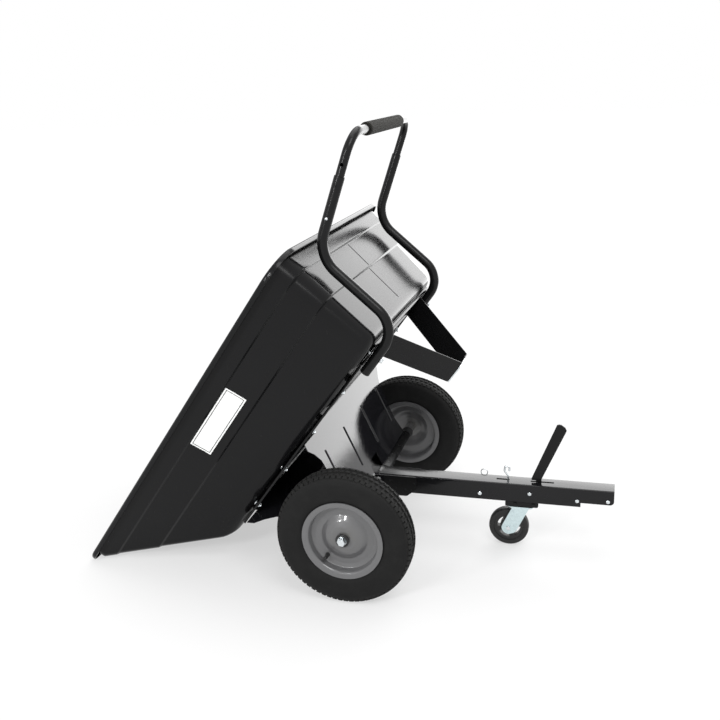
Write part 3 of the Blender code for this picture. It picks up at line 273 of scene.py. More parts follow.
def turned(name, profile, centre, axis="X", steps=64, closed=True):
    """A profile of (radius, distance along the axis) spun round a line through centre."""
    along = Vector((1, 0, 0) if axis == "X" else (0, 0, 1))
    out = Vector((0, 0, 1) if axis == "X" else (1, 0, 0))
    path = [Vector(centre) + out * radius + along * far for radius, far in profile]
    if closed:
        path.append(path[0])
    piece = added(name, "plane", path[0], size=0.001)
    opened(piece)
    bpy.ops.mesh.merge(type="CENTER")
    for here, there in zip(path, path[1:]):
        bpy.ops.mesh.extrude_vertices_move(TRANSFORM_OT_translate={"value": there - here})
    bpy.ops.mesh.select_all(action="SELECT")
    bpy.ops.mesh.remove_doubles(threshold=0.000001)
    bpy.ops.mesh.spin(steps=steps, angle=2 * math.pi, center=centre, axis=along)
    put_down()
    return welded(piece)


def bent(name, radius, corners, bends, sides=24, steps=10, wall=0.0):
    """A round bar, or a tube of a wall's thickness, that runs through its corners and bends at each."""
    corners = [Vector(corner) for corner in corners]
    here = corners[0]
    along = (corners[1] - here).normalized()
    piece = added(name, "circle", here, facing(along).to_euler(), vertices=sides, radius=radius)
    opened(piece)
    for corner, after, bend in zip(corners[1:], corners[2:], bends):
        ahead = (after - corner).normalized()
        turn = along.angle(ahead)
        reach = bend * math.tan(turn / 2)
        start = corner - along * reach
        bpy.ops.mesh.extrude_edges_move(TRANSFORM_OT_translate={"value": start - here})
        axis = along.cross(ahead).normalized()
        bpy.ops.mesh.spin(steps=steps, angle=-turn, center=start + axis.cross(along) * bend, axis=axis)
        here = corner + ahead * reach
        along = ahead
    bpy.ops.mesh.extrude_edges_move(TRANSFORM_OT_translate={"value": corners[-1] - here})
    if not wall:
        bpy.ops.mesh.select_all(action="SELECT")
        bpy.ops.mesh.fill_holes(sides=0)
    put_down()
    welded(piece)
    if wall:
        worked(piece, "SOLIDIFY", thickness=wall, offset=-1.0)
    return edged(piece, 0.0006, 2, 50)


def refined(node, name, width):
    """A copy of a CAD node with its triangles merged into clean faces and its edges rounded."""
    alone(frame["nodes"][node])
    bpy.ops.object.duplicate()
    piece = named(bpy.context.active_object, name)
    bpy.ops.object.parent_clear(type="CLEAR_KEEP_TRANSFORM")
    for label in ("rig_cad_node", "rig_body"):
        if label in piece:
            del piece[label]
    bpy.ops.mesh.customdata_custom_splitnormals_clear()
    opened(piece)
    bpy.ops.mesh.remove_doubles(threshold=0.00001)
    bpy.ops.mesh.dissolve_limited(angle_limit=math.radians(0.8))
    put_down()
    return smoothed(edged(piece, width), 40)


def hex_head(name, across, height, washer=0.0, stub=0.0):
    """A hex head or nut, on a washer and with a bolt's end where it has them, standing on the origin."""
    base = 0.0014 if washer else 0.0
    piece = added(name, "cylinder", (0, 0, base + height / 2), vertices=6, radius=across / math.sqrt(3),
                  depth=height)
    picked(piece, "FACE", lambda place, normal: normal.z > 0.9)
    bpy.ops.mesh.inset(thickness=across * 0.07, depth=height * 0.12)
    put_down()
    parts = [edged(piece, 0.0003)]
    if washer:
        ring = added(name + "_washer", "cylinder", (0, 0, base / 2), vertices=28, radius=washer / 2,
                     depth=base)
        parts.append(edged(ring, 0.0003))
    if stub:
        end = added(name + "_end", "cylinder", (0, 0, base + height / 2 + stub / 2), vertices=20,
                    radius=across * 0.30, depth=height + stub)
        parts.append(edged(end, 0.0006))
    return smoothed(joined(name, *parts), 40)


def dome_head(name, radius, height):
    """A coach bolt's round head, standing on the origin."""
    turns = [math.radians(degrees) for degrees in (18, 36, 54, 70, 84)]
    profile = [(0.0, height)]
    profile += [(radius * math.sin(turn), height * math.cos(turn)) for turn in turns]
    profile += [(radius, 0.0), (0.0, 0.0)]
    return smoothed(turned(name, profile, (0, 0, 0), "Z", 24, closed=False), 60)


def dressed(piece, finish, slot, body, *nodes):
    """Gives a finished piece its finish and its body, and hides the CAD nodes that it stands for. The slot
    argument is not used.
    """
    piece.data.materials.clear()
    piece.data.materials.append(finish)
    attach(piece, body)
    if nodes:
        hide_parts(*nodes)
    return piece


# Finishes

class Value:
    """A shader socket that takes part in Python sums."""

    def __init__(self, nodes, socket):
        self.nodes = nodes
        self.socket = socket

    def maths(self, operation, first, second):
        """One Math node of two values."""
        return self.nodes.node("ShaderNodeMath", {"operation": operation}, {0: first, 1: second})

    def __add__(self, other):
        return self.maths("ADD", self, other)

    def __radd__(self, other):
        return self.maths("ADD", other, self)

    def __sub__(self, other):
        return self.maths("SUBTRACT", self, other)

    def __rsub__(self, other):
        return self.maths("SUBTRACT", other, self)

    def __mul__(self, other):
        return self.maths("MULTIPLY", self, other)

    def above(self, low, high):
        """0 below low, 1 above high, and even between them."""
        settings = {"interpolation_type": "SMOOTHSTEP"}
        return self.nodes.node("ShaderNodeMapRange", settings, {0: self, 1: low, 2: high})

    def wave(self, pitch):
        """A sine of the value, one turn in each pitch."""
        return self.maths("SINE", self * (2 * math.pi / pitch), 0.0)


class Nodes:
    """A shader's node tree."""

    def __init__(self, tree):
        self.tree = tree

    def plug(self, socket, value):
        """Links a value to a socket, or sets it."""
        if isinstance(value, Value):
            self.tree.links.new(value.socket, socket)
        else:
            socket.default_value = value

    def node(self, kind, settings=None, sockets=None, output=0):
        """Adds a node, with its settings first and then its sockets, and returns one output."""
        made = self.tree.nodes.new(kind)
        for name, value in (settings or {}).items():
            setattr(made, name, value)
        for name, value in (sockets or {}).items():
            self.plug(made.inputs[name], value)
        return Value(self, made.outputs[output])

    def looked_at(self):
        """1 for a ray from the camera, a reflection or a clear piece, and 0 for the rest."""
        path = self.tree.nodes.new("ShaderNodeLightPath")
        names = ("Is Camera Ray", "Is Glossy Ray", "Is Transmission Ray")
        camera, glossy, clear = [Value(self, path.outputs[name]) for name in names]
        return self.node("ShaderNodeMath", {"operation": "MINIMUM"}, {0: camera + glossy + clear, 1: 1.0})


class Finish(Nodes):
    """A procedural material on one Principled shader."""

    def __init__(self, name, colour, roughness, metallic=0.0, **steady):
        self.material = bpy.data.materials.new(name)
        self.material.use_nodes = True
        self.material.diffuse_color = (*colour, 1.0)
        super().__init__(self.material.node_tree)
        self.shader = self.tree.nodes["Principled BSDF"]
        self.set("Base Color", (*colour, 1.0))
        self.set("Roughness", roughness)
        self.set("Metallic", metallic)
        for socket, value in steady.items():
            self.set(socket.replace("_", " "), value)
        self.place = self.node("ShaderNodeTexCoord", output="Object")

    def set(self, name, value):
        """Feeds one socket of the shader."""
        self.plug(self.shader.inputs[name], value)

    def noise(self, scale, detail=2.0, roughness=0.5, place=None):
        """Noise of so many cells to the metre."""
        sockets = {"Vector": place or self.place, "Scale": scale, "Detail": detail, "Roughness": roughness}
        return self.node("ShaderNodeTexNoise", None, sockets, "Fac")

    def cells(self, scale, output="Distance"):
        """Voronoi cells, so many to the metre."""
        return self.node("ShaderNodeTexVoronoi", None, {"Vector": self.place, "Scale": scale}, output)

    def stretched(self, scale, centre=(0, 0, 0), turn=(0, 0, 0)):
        """Object coordinates centred, turned and scaled."""
        back = [-a * b for a, b in zip(centre, scale)]
        sockets = {"Vector": self.place, "Location": back, "Rotation": turn, "Scale": scale}
        return self.node("ShaderNodeMapping", None, sockets)

    def length(self, vector):
        """A vector's length."""
        return self.node("ShaderNodeVectorMath", {"operation": "LENGTH"}, {0: vector}, "Value")

    def blend(self, share, first, second):
        """Two colours mixed by a share."""
        made = self.tree.nodes.new("ShaderNodeMix")
        made.data_type = "RGBA"
        self.plug(made.inputs[0], share)
        for socket, colour in ((made.inputs[6], first), (made.inputs[7], second)):
            self.plug(socket, colour if isinstance(colour, Value) else (*colour, 1.0))
        return Value(self, made.outputs[2])

    def bump(self, height, strength, distance):
        """Feeds the shader's normal from a height."""
        sockets = {"Height": height, "Strength": strength, "Distance": distance}
        self.set("Normal", self.node("ShaderNodeBump", None, sockets))


def powder_coat(name, dark, light, roughness, level, coat=0.0):
    """Gloss powder coat on steel: orange peel, faint clouding, and dust in patches."""
    finish = Finish(name, dark, roughness, Specular_IOR_Level=level, Coat_Weight=coat, Coat_Roughness=0.08)
    clouds = finish.noise(9.0, 3.0)
    dust = finish.noise(60.0, 4.0, 0.7).above(0.52, 0.80)
    finish.set("Base Color", finish.blend(clouds * 0.6 + dust * 0.4, dark, light))
    finish.set("Roughness", roughness + (clouds - 0.5) * 0.08 + dust * 0.10)
    finish.bump(finish.noise(520.0, 2.0) + finish.noise(1400.0, 1.0) * 0.3, 0.10, 0.0004)
    return finish.material


def moulded_tub(name, dark, light, roughness, level):
    """Moulded polypropylene: a fine grain, flow marks along the tub and a few rubbed scratches."""
    finish = Finish(name, dark, roughness, Specular_IOR_Level=level)
    flow = finish.noise(3.0, 4.0, 0.55, finish.stretched((0.5, 1.6, 1.6)))
    grain = finish.noise(1700.0, 2.0, 0.6)
    scratch = finish.noise(26.0, 3.0, 0.6, finish.stretched((0.4, 9.0, 1.3), turn=(0.5, 0.2, 0.0)))
    rubbed = scratch.above(0.66, 0.74)
    finish.set("Base Color", finish.blend(flow * 0.5 + rubbed * 0.5, dark, light))
    finish.set("Roughness", roughness + (flow - 0.5) * 0.10 + rubbed * 0.12)
    finish.bump(grain * 0.6 + scratch * 0.3, 0.06, 0.0004)
    return finish.material


def wheel_enamel(name, dark, light, roughness):
    """Grey stove enamel: a fine metal fleck, orange peel and dust that gathers by the hub."""
    finish = Finish(name, light, roughness, Coat_Weight=0.9, Coat_Roughness=0.09)
    spot = finish.length(finish.stretched((0.0, 1.0, 1.0), AXLE))
    fleck = finish.cells(2600.0).above(0.15, 0.65)
    clouds = finish.noise(24.0, 4.0, 0.6)
    dusty = (1.0 - spot.above(0.020, 0.060)) * clouds.above(0.35, 0.65)
    tone = finish.blend(fleck * 0.35 + clouds * 0.45, dark, light)
    finish.set("Base Color", finish.blend(dusty * 0.45, tone, (0.115, 0.112, 0.095)))
    finish.set("Roughness", roughness + (clouds - 0.5) * 0.12 + dusty * 0.25)
    finish.bump(finish.noise(620.0, 2.0) + fleck * 0.15, 0.07, 0.0004)
    return finish.material


def tyre_rubber(name, dark, dusty):
    """Tyre rubber: fine rings round the side wall, chalky dust in patches, and a dull tread painted lighter,
    partly as wear and dust and partly as a painted highlight on its blocks.
    """
    finish = Finish(name, dark, 0.72, Specular_IOR_Level=0.16)
    radius = finish.length(finish.stretched((0.0, 1.0, 1.0), AXLE))
    tread = radius.above(0.186, 0.197)
    patches = finish.noise(30.0, 4.0, 0.65).above(0.42, 0.70)
    rings = radius.wave(0.0032) * (1.0 - tread) * 0.5
    # The tread band is blended towards the dusty colour: partly dust and wear, partly a painted highlight on
    # the tread blocks.
    finish.set("Base Color", finish.blend(patches * 0.25 + tread * 0.60, dark, dusty))
    finish.set("Roughness", 0.66 + patches * 0.12 + tread * 0.10)
    finish.bump(rings + finish.noise(900.0, 3.0, 0.6) * 0.8, 0.16, 0.0004)
    return finish.material


def foam_sleeve(name, dark, light):
    """Closed-cell foam: open pores over a soft, dull skin."""
    finish = Finish(name, dark, 0.92, Specular_IOR_Level=0.22)
    pores = finish.cells(900.0).above(0.10, 0.55)
    lumps = finish.noise(70.0, 4.0, 0.6)
    finish.set("Base Color", finish.blend(lumps * 0.6 + pores * 0.4, dark, light))
    finish.set("Roughness", 0.82 + lumps * 0.14)
    finish.bump(pores + lumps * 0.8, 0.45, 0.0008)
    return finish.material


def zinc_plate(name, dull, bright, roughness):
    """Bright zinc plate: soft crystal patches, a brushed grain and duller spots."""
    finish = Finish(name, bright, roughness, 1.0)
    patch = finish.cells(240.0, "Color")
    tone = finish.node("ShaderNodeSeparateColor", None, {0: patch}, 0)
    grain = finish.noise(300.0, 3.0, 0.6, finish.stretched((1.0, 1.0, 7.0)))
    spots = finish.noise(45.0, 4.0, 0.65).above(0.50, 0.72)
    finish.set("Base Color", finish.blend(tone * 0.35 + spots * 0.45 + grain * 0.2, bright, dull))
    finish.set("Roughness", roughness + spots * 0.14 + (grain - 0.5) * 0.12)
    finish.bump(grain + tone * 0.2, 0.05, 0.0003)
    return finish.material


def moulded_black(name, dark, light, roughness):
    """Black nylon or hard rubber: an even fine grain with handling marks."""
    finish = Finish(name, dark, roughness, Specular_IOR_Level=0.35)
    marks = finish.noise(110.0, 4.0, 0.65)
    finish.set("Base Color", finish.blend(marks, dark, light))
    finish.set("Roughness", roughness + (marks - 0.5) * 0.2)
    finish.bump(finish.noise(1300.0, 2.0), 0.10, 0.0003)
    return finish.material


def blank_label(name, colour, aged, roughness):
    """A printed blank label: smooth film over the tub's grain."""
    finish = Finish(name, colour, roughness, Specular_IOR_Level=0.4)
    stain = finish.noise(40.0, 4.0, 0.6)
    finish.set("Base Color", finish.blend(stain.above(0.45, 0.85) * 0.5, colour, aged))
    finish.set("Roughness", roughness + (stain - 0.5) * 0.12)
    finish.bump(finish.noise(800.0, 2.0), 0.04, 0.0003)
    return finish.material


STEEL = powder_coat("black_powder_coat", (0.0050, 0.0050, 0.0053), (0.010, 0.010, 0.0104), 0.24, 0.20)
PLATE_STEEL = powder_coat("black_gloss_coat", (0.0070, 0.0070, 0.0082), (0.013, 0.013, 0.0160), 0.04, 0.46)
BEAM_STEEL = powder_coat("black_beam_coat", (0.0055, 0.0055, 0.0062), (0.010, 0.010, 0.0112), 0.14, 0.20,
                         0.15)
TUB_PLASTIC = moulded_tub("moulded_polypropylene", (0.0050, 0.0050, 0.0054), (0.0100, 0.0100, 0.0106), 0.18,
                          0.17)
ENAMEL = wheel_enamel("grey_wheel_enamel", (0.090, 0.090, 0.093), (0.130, 0.130, 0.133), 0.36)
RUBBER = tyre_rubber("tyre_rubber", (0.0085, 0.0085, 0.0085), (0.026, 0.026, 0.0255))
FOAM = foam_sleeve("foam_sleeve", (0.013, 0.0125, 0.0105), (0.024, 0.023, 0.020))
ZINC = zinc_plate("bright_zinc", (0.50, 0.53, 0.55), (0.78, 0.82, 0.84), 0.24)
BLUE_ZINC = zinc_plate("blue_zinc", (0.50, 0.60, 0.62), (0.70, 0.83, 0.85), 0.28)
NYLON = moulded_black("black_nylon", (0.012, 0.012, 0.012), (0.024, 0.024, 0.024), 0.45)
CASTER_RUBBER = moulded_black("caster_rubber", (0.010, 0.010, 0.010), (0.020, 0.020, 0.020), 0.50)
LABEL_WHITE = blank_label("label_white", (0.93, 0.94, 0.93), (0.85, 0.85, 0.82), 0.42)
LABEL_LINE = blank_label("label_line", (0.030, 0.030, 0.030), (0.060, 0.060, 0.058), 0.45)


# The tub

def wall_at(depth, wall=0.0):
    """The wall's inset, front, rear and corner at one depth, moved inwards by a share of its thickness."""
    draft = depth / (TUB_DEPTH - FLOOR_EDGE)
    steps = LEDGE_STEP * sum(depth > ledge for ledge in LEDGES)
    inset = FLANGE + SIDE_DRAFT * draft + steps + wall
    front = TUB_FRONT - FLANGE * 0.85 - FRONT_DRAFT * draft - steps - wall
    rear = TUB_REAR + FLANGE * 0.7 + REAR_SLOPE * max(depth - REAR_SLOPE_DEPTH, 0.0)
    corner = RIM_CORNER - FLANGE + (FLOOR_CORNER - RIM_CORNER + FLANGE) * draft
    return inset, front, rear + wall * math.hypot(1, REAR_SLOPE), corner - wall


def skin_levels(wall=0.0):
    """Levels of the tub's wall from under the rim down to the floor."""
    depths = [REAR_SLOPE_DEPTH, LEDGES[0] - 0.001, LEDGES[0] + 0.004, LEDGES[1] - 0.001, LEDGES[1] + 0.004,
              TUB_DEPTH - FLOOR_EDGE]
    levels = [(depth, *wall_at(depth, wall)) for depth in depths]
    depth, inset, front, rear, corner = levels[-1]
    radius = FLOOR_EDGE - wall
    for degrees in (15, 30, 45, 60, 75, 90):
        drop = radius * math.sin(math.radians(degrees))
        pull = radius * (1 - math.cos(math.radians(degrees)))
        levels.append((depth + drop, inset + pull, front - pull, rear + pull + drop * REAR_SLOPE,
                       corner - pull * 0.5))
    return levels


def level_loop(index, depth, inset, front, rear, corner):
    """One level: a plane drawn to size, tapered, its corners rounded and its face taken out."""
    centre = Vector((0, (front + rear) / 2, RIM_TOP - depth))
    loop = added("level", "plane", centre, size=2)
    opened(loop)
    tight = corner * REAR_CORNER_SHARE
    rate = (HALF_FRONT - HALF_REAR) / (front - rear - corner - tight)
    narrow = HALF_REAR - inset - rate * tight
    wide = HALF_FRONT - inset + rate * corner * 0.95
    bpy.ops.transform.resize(value=(narrow, (front - rear) / 2, 1), center_override=centre)
    picked(loop, "VERT", lambda place: place.y > centre.y)
    bpy.ops.transform.resize(value=(wide / narrow, 1, 1), center_override=centre)
    bpy.ops.mesh.bevel(offset_type="OFFSET", offset=corner, segments=CORNER_STEPS, affect="VERTICES")
    picked(loop, "VERT", lambda place: place.y < centre.y)
    bpy.ops.mesh.bevel(offset_type="OFFSET", offset=tight, segments=CORNER_STEPS, affect="VERTICES")
    bpy.ops.mesh.select_all(action="SELECT")
    bpy.ops.mesh.delete(type="ONLY_FACE")
    put_down()
    loop.vertex_groups.new(name="level_%02d" % index).add(range(len(loop.data.vertices)), 1.0, "REPLACE")
    return loop


def lofted(name, levels, capped_above):
    """A skin bridged through levels, lowest first, and closed below."""
    loops = [level_loop(i, *level) for i, level in enumerate(levels)]
    shell = joined(name, *loops)
    opened(shell)

    def choose(*indices):
        bpy.ops.mesh.select_all(action="DESELECT")
        for index in indices:
            shell.vertex_groups.active_index = shell.vertex_groups["level_%02d" % index].index
            bpy.ops.object.vertex_group_select()

    for index in range(len(levels) - 1):
        choose(index, index + 1)
        bpy.ops.mesh.bridge_edge_loops()
    choose(0)
    bpy.ops.mesh.edge_face_add()
    if capped_above:
        choose(len(levels) - 1)
        bpy.ops.mesh.edge_face_add()
    put_down()
    shell.vertex_groups.clear()
    welded(shell)
    if min(shell.data.polygons, key=lambda face: face.center.z).normal.z > 0:
        opened(shell)
        bpy.ops.mesh.flip_normals()
        put_down()
    return shell


def rib_set(name, grow, flare, low):
    """The floor's five cross ribs as round-topped prisms."""
    high = FLOOR_Z + RIB_RISE + grow
    foot = RIB_HALF + grow + flare
    top = RIB_HALF + grow - 0.004
    ribs = []
    for station in RIB_STATIONS:
        centre = (0, station, (low + high) / 2)
        rib = added("rib", "cube", centre, size=1)
        opened(rib)
        bpy.ops.transform.resize(value=(2 * HALF_FRONT, 2 * top, high - low), center_override=centre)
        picked(rib, "VERT", lambda place: place.z < centre[2])
        bpy.ops.transform.resize(value=(1, foot / top, 1), center_override=centre)
        picked(rib, "EDGE", lambda a, b: a.z > centre[2] and b.z > centre[2] and abs(a.x - b.x) > 0.1)
        bpy.ops.mesh.bevel(offset=0.0045, segments=3, affect="EDGES")
        put_down()
        ribs.append(rib)
    return joined(name, *ribs)


def boolean(piece, tool, operation):
    """One exact Boolean."""
    return worked(piece, "BOOLEAN", object=tool, operation=operation, solver="EXACT")


def tub_body():
    """The moulded tub: stepped walls, rolled rim and pressed floor ribs."""
    inset, front, rear, corner = wall_at(TUB_WALL)
    bend_low = TUB_WALL + RIM_BEND

    def flange(depth, offset):
        return depth, offset, TUB_FRONT - offset, TUB_REAR + offset, RIM_CORNER - offset

    levels = skin_levels()[::-1]
    levels += [(bend_low, *wall_at(bend_low)),
               (TUB_WALL, inset - RIM_BEND, front + RIM_BEND, rear - RIM_BEND, corner + RIM_BEND),
               flange(TUB_WALL, bend_low), flange(bend_low, TUB_WALL), flange(RIM_LIP, TUB_WALL)]
    tub = lofted("tub_body", levels, False)
    edged(tub, 0.0020, 2, 26)
    worked(tub, "SOLIDIFY", thickness=TUB_WALL, offset=-1.0, use_even_offset=True)
    envelope = lofted("envelope", skin_levels(TUB_WALL / 2)[::-1], True)
    ribs = rib_set("rib_tops", TUB_WALL, 0.006, FLOOR_Z + 0.002)
    boolean(ribs, envelope, "INTERSECT")
    boolean(tub, ribs, "UNION")
    grooves = rib_set("rib_grooves", 0.0, 0.018, FLOOR_Z - 0.02)
    boolean(tub, grooves, "DIFFERENCE")
    for tool in (envelope, ribs, grooves):
        dropped(tool)
    return tub


def front_seam(low_depth, high_depth):
    """The mould's parting line down one tier of the front wall, a fine ridge."""
    ends = [Vector((0, wall_at(depth)[1], RIM_TOP - depth)) for depth in (low_depth, high_depth)]
    along = ends[0] - ends[1]
    ridge = added("seam", "cylinder", (ends[0] + ends[1]) / 2, facing(along).to_euler(), vertices=10,
                  radius=0.0011, depth=along.length)
    return edged(ridge, 0.0003, 1)


def side_plate(tub):
    """The blank plate on the tub's right side, laid on the wall: a white field in a thin border."""
    low, high, bottom, top = -0.0815, 0.1550, 0.4600, 0.5264
    margin, line = 0.0045, 0.0022
    centre = Vector((0.47, (low + high) / 2, (bottom + top) / 2))
    plate = added("side_plate", "plane", centre, (0, math.pi / 2, 0), size=1)
    opened(plate)
    bpy.ops.transform.resize(value=(1, high - low, top - bottom), center_override=centre)
    bpy.ops.mesh.inset(thickness=margin)
    bpy.ops.mesh.inset(thickness=line)
    put_down()
    plate.data.materials.append(LABEL_WHITE)
    plate.data.materials.append(LABEL_LINE)
    for face in plate.data.polygons:
        corners = [plate.data.vertices[i].co - centre for i in face.vertices]
        from_top = (top - bottom) / 2 - max(abs(corner.z) for corner in corners)
        from_end = (high - low) / 2 - max(abs(corner.y) for corner in corners)
        face.material_index = 1 if abs(min(from_top, from_end) - margin) < line / 2 else 0
    opened(plate, "FACE")
    bpy.ops.mesh.quads_convert_to_tris()
    bpy.ops.mesh.subdivide(number_cuts=2)
    put_down()
    worked(plate, "SHRINKWRAP", target=tub, wrap_method="PROJECT", use_project_x=True,
           use_negative_direction=True, use_positive_direction=False, offset=0.0002)
    worked(plate, "SOLIDIFY", thickness=0.0009, offset=1.0)
    return plate


def floor_fixings():
    """The coach bolts that hold the tub's floor to the rails, and their nuts below."""
    head = dome_head("floor_bolt_pattern", 0.0085, 0.0042)
    nut = hex_head("floor_nut_pattern", 0.0125, 0.0055, 0.019, 0.004)
    rail_low = FLOOR_Z - RAIL_SHEET - 0.0004
    for side, label in SIDES:
        for number, station in enumerate((-0.162, -0.002, 0.158, 0.318), 1):
            name = "floor_bolt_%s_%d" % (label, number)
            top = stood(head, name, (side * RAIL_X, station, FLOOR_Z + TUB_WALL), (0, 0, 1))
            low = stood(nut, name + "_nut", (side * RAIL_X, station, rail_low), (0, 0, -1))
            dressed(moved(joined(name, top, low), TIPPED), ZINC, "zinc", "tub")
    dropped(head)
    dropped(nut)


tub = tub_body()
seams = [front_seam(0.1585, 0.0690), front_seam(0.2910, 0.1660)]
tub = joined("tub_body", tub, *seams)
plate = side_plate(tub)
moved(tub, TIPPED)
dressed(smoothed(tub, 33), TUB_PLASTIC, "black_plastic", "tub", "tub_shell")
moved(plate, TIPPED)
smoothed(plate, 30)
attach(plate, "tub")
floor_fixings()


# Steel under the tub and along the drawbar, with its edges rounded

for node, finish, width in (
        ("saddle_front_plate", PLATE_STEEL, 0.0008), ("saddle_rear_plate", PLATE_STEEL, 0.0008),
        ("bed_rail_left", STEEL, 0.0006), ("bed_rail_right", STEEL, 0.0006),
        ("bed_cross_member", STEEL, 0.0006), ("stand_strap_left", STEEL, 0.0006),
        ("stand_strap_right", STEEL, 0.0006), ("drawbar_channel", BEAM_STEEL, 0.0007),
        ("nose_channel", STEEL, 0.0006), ("axle_bracket", STEEL, 0.0006), ("caster_bracket", STEEL, 0.0006),
        ("release_lever", STEEL, 0.0010)):
    dressed(refined(node, node + "_steel", width), finish, "black_steel", BODY_OF[node], node)

for node, finish, width in (("stand_foot", ZINC, 0.0006), ("caster_top_plate", BLUE_ZINC, 0.0005),
                            ("caster_fork", BLUE_ZINC, 0.0006)):
    dressed(refined(node, node + "_plated", width), finish, "zinc", BODY_OF[node], node)

for side, label in SIDES:
    low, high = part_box("pivot_tube_" + label)
    profile = [(0.0165, low.x), (0.0165, high.x), (0.0105, high.x), (0.0105, low.x)]
    pivot_tube = turned("pivot_tube_%s_steel" % label, profile, (0, AXLE.y, AXLE.z), "X", 40)
    dressed(smoothed(edged(pivot_tube, 0.0008)), STEEL, "black_steel", "tub", "pivot_tube_" + label)


# The push handle

def sleeve_line(reach):
    """A point on the handle's sloping line, ahead of the axle and above it."""
    ahead, above = SLEEVE_SHOULDER
    return reach, above + (reach - ahead) * math.tan(SLEEVE_PITCH)


HANDLE_X = middle("handle_tube_right").x
button_profile = [(0.0, 0.0180), (0.0016, 0.0179), (0.0030, 0.0172), (0.0040, 0.0160), (0.0040, 0.0128),
                  (0.0, 0.0128)]
rivet_head = dome_head("sleeve_rivet_pattern", 0.0042, 0.0020)
for side, label in SIDES:
    x = side * HANDLE_X
    corners = [(x, SLEEVE_START, SLEEVE_LOW_Z), (x, SLEEVE_CORNER, SLEEVE_LOW_Z), (x, *SLEEVE_SHOULDER),
               (x, *sleeve_line(SLEEVE_END))]
    sleeve = bent("handle_tube_%s_steel" % label, SLEEVE_RADIUS, corners, (0.080, 0.100), 32, 14, 0.0020)
    moved(sleeve, TIPPED)
    dressed(smoothed(sleeve), STEEL, "black_steel", "tub", "handle_tube_" + label)
    profile = [(radius, side * far) for radius, far in button_profile]
    place = (x, *sleeve_line(BUTTON_STATION))
    stud = turned("snap_button_%s_stud" % label, profile, place, "X", 24, closed=False)
    moved(stud, TIPPED)
    dressed(smoothed(stud, 50), STEEL, "zinc", "snap_button_" + label, "snap_button_" + label)
    place = (x + side * 0.0148, *sleeve_line(RIVET_STATION))
    rivet = moved(stood(rivet_head, "sleeve_rivet_" + label, place, (side, 0, 0)), TIPPED)
    dressed(rivet, ZINC, "zinc", "tub")
dropped(rivet_head)

start, far = sleeve_line(LOOP_START), sleeve_line(GRIP_REACH)
corners = [(-HANDLE_X, *start), (-HANDLE_X, *far), (HANDLE_X, *far), (HANDLE_X, *start)]
loop = bent("handle_loop_steel", 0.0125, corners, (0.060, 0.060), 32, 14, 0.0016)
for side in (-1, 1):
    for station in (BUTTON_STATION, LOCK_STATION):
        hole = added("button_hole", "cylinder", (side * (HANDLE_X + 0.015), *sleeve_line(station)),
                     (0, math.pi / 2, 0), vertices=24, radius=0.0049, depth=0.030)
        boolean(loop, hole, "DIFFERENCE")
        dropped(hole)
moved(loop, TIPPED)
dressed(smoothed(loop), STEEL, "black_steel", "push_handle", "handle_loop")

grip_profile = [(0.0130, -GRIP_HALF), (0.0165, -GRIP_HALF), (0.0180, -0.1865), (0.0187, -0.184),
                (0.0188, -0.180)]
grip_profile += [(0.0188, -0.1), (0.0188, 0.1)]
grip_profile += [(radius, -far) for radius, far in grip_profile[4::-1]]
grip = turned("foam_grip", grip_profile, GRIP, "X", 48)
dressed(smoothed(grip, 50), FOAM, "foam", "push_handle", "handle_grip")


# Wheels: the right one is modelled, and the left one is its copy turned half round

def both_sides(piece, finish, slot, right_body, node):
    """Dresses a right-hand piece and a copy of it, turned half round, for the left."""
    twin = moved(copied(piece, piece.name.replace("right", "left")), LEFT_SIDE)
    dressed(piece, finish, slot, right_body, node)
    dressed(twin, finish, slot, right_body.replace("right", "left"), node.replace("right", "left"))


def tyre_point(degrees):
    """A point of the tyre's round section, (radius, half width), from the bead up to the crown at 90."""
    turn = math.radians(degrees)
    high = math.copysign(abs(math.sin(turn)) ** 0.55, turn)
    return 0.158 + 0.0405 * high, 0.043 * math.cos(turn) ** 0.55


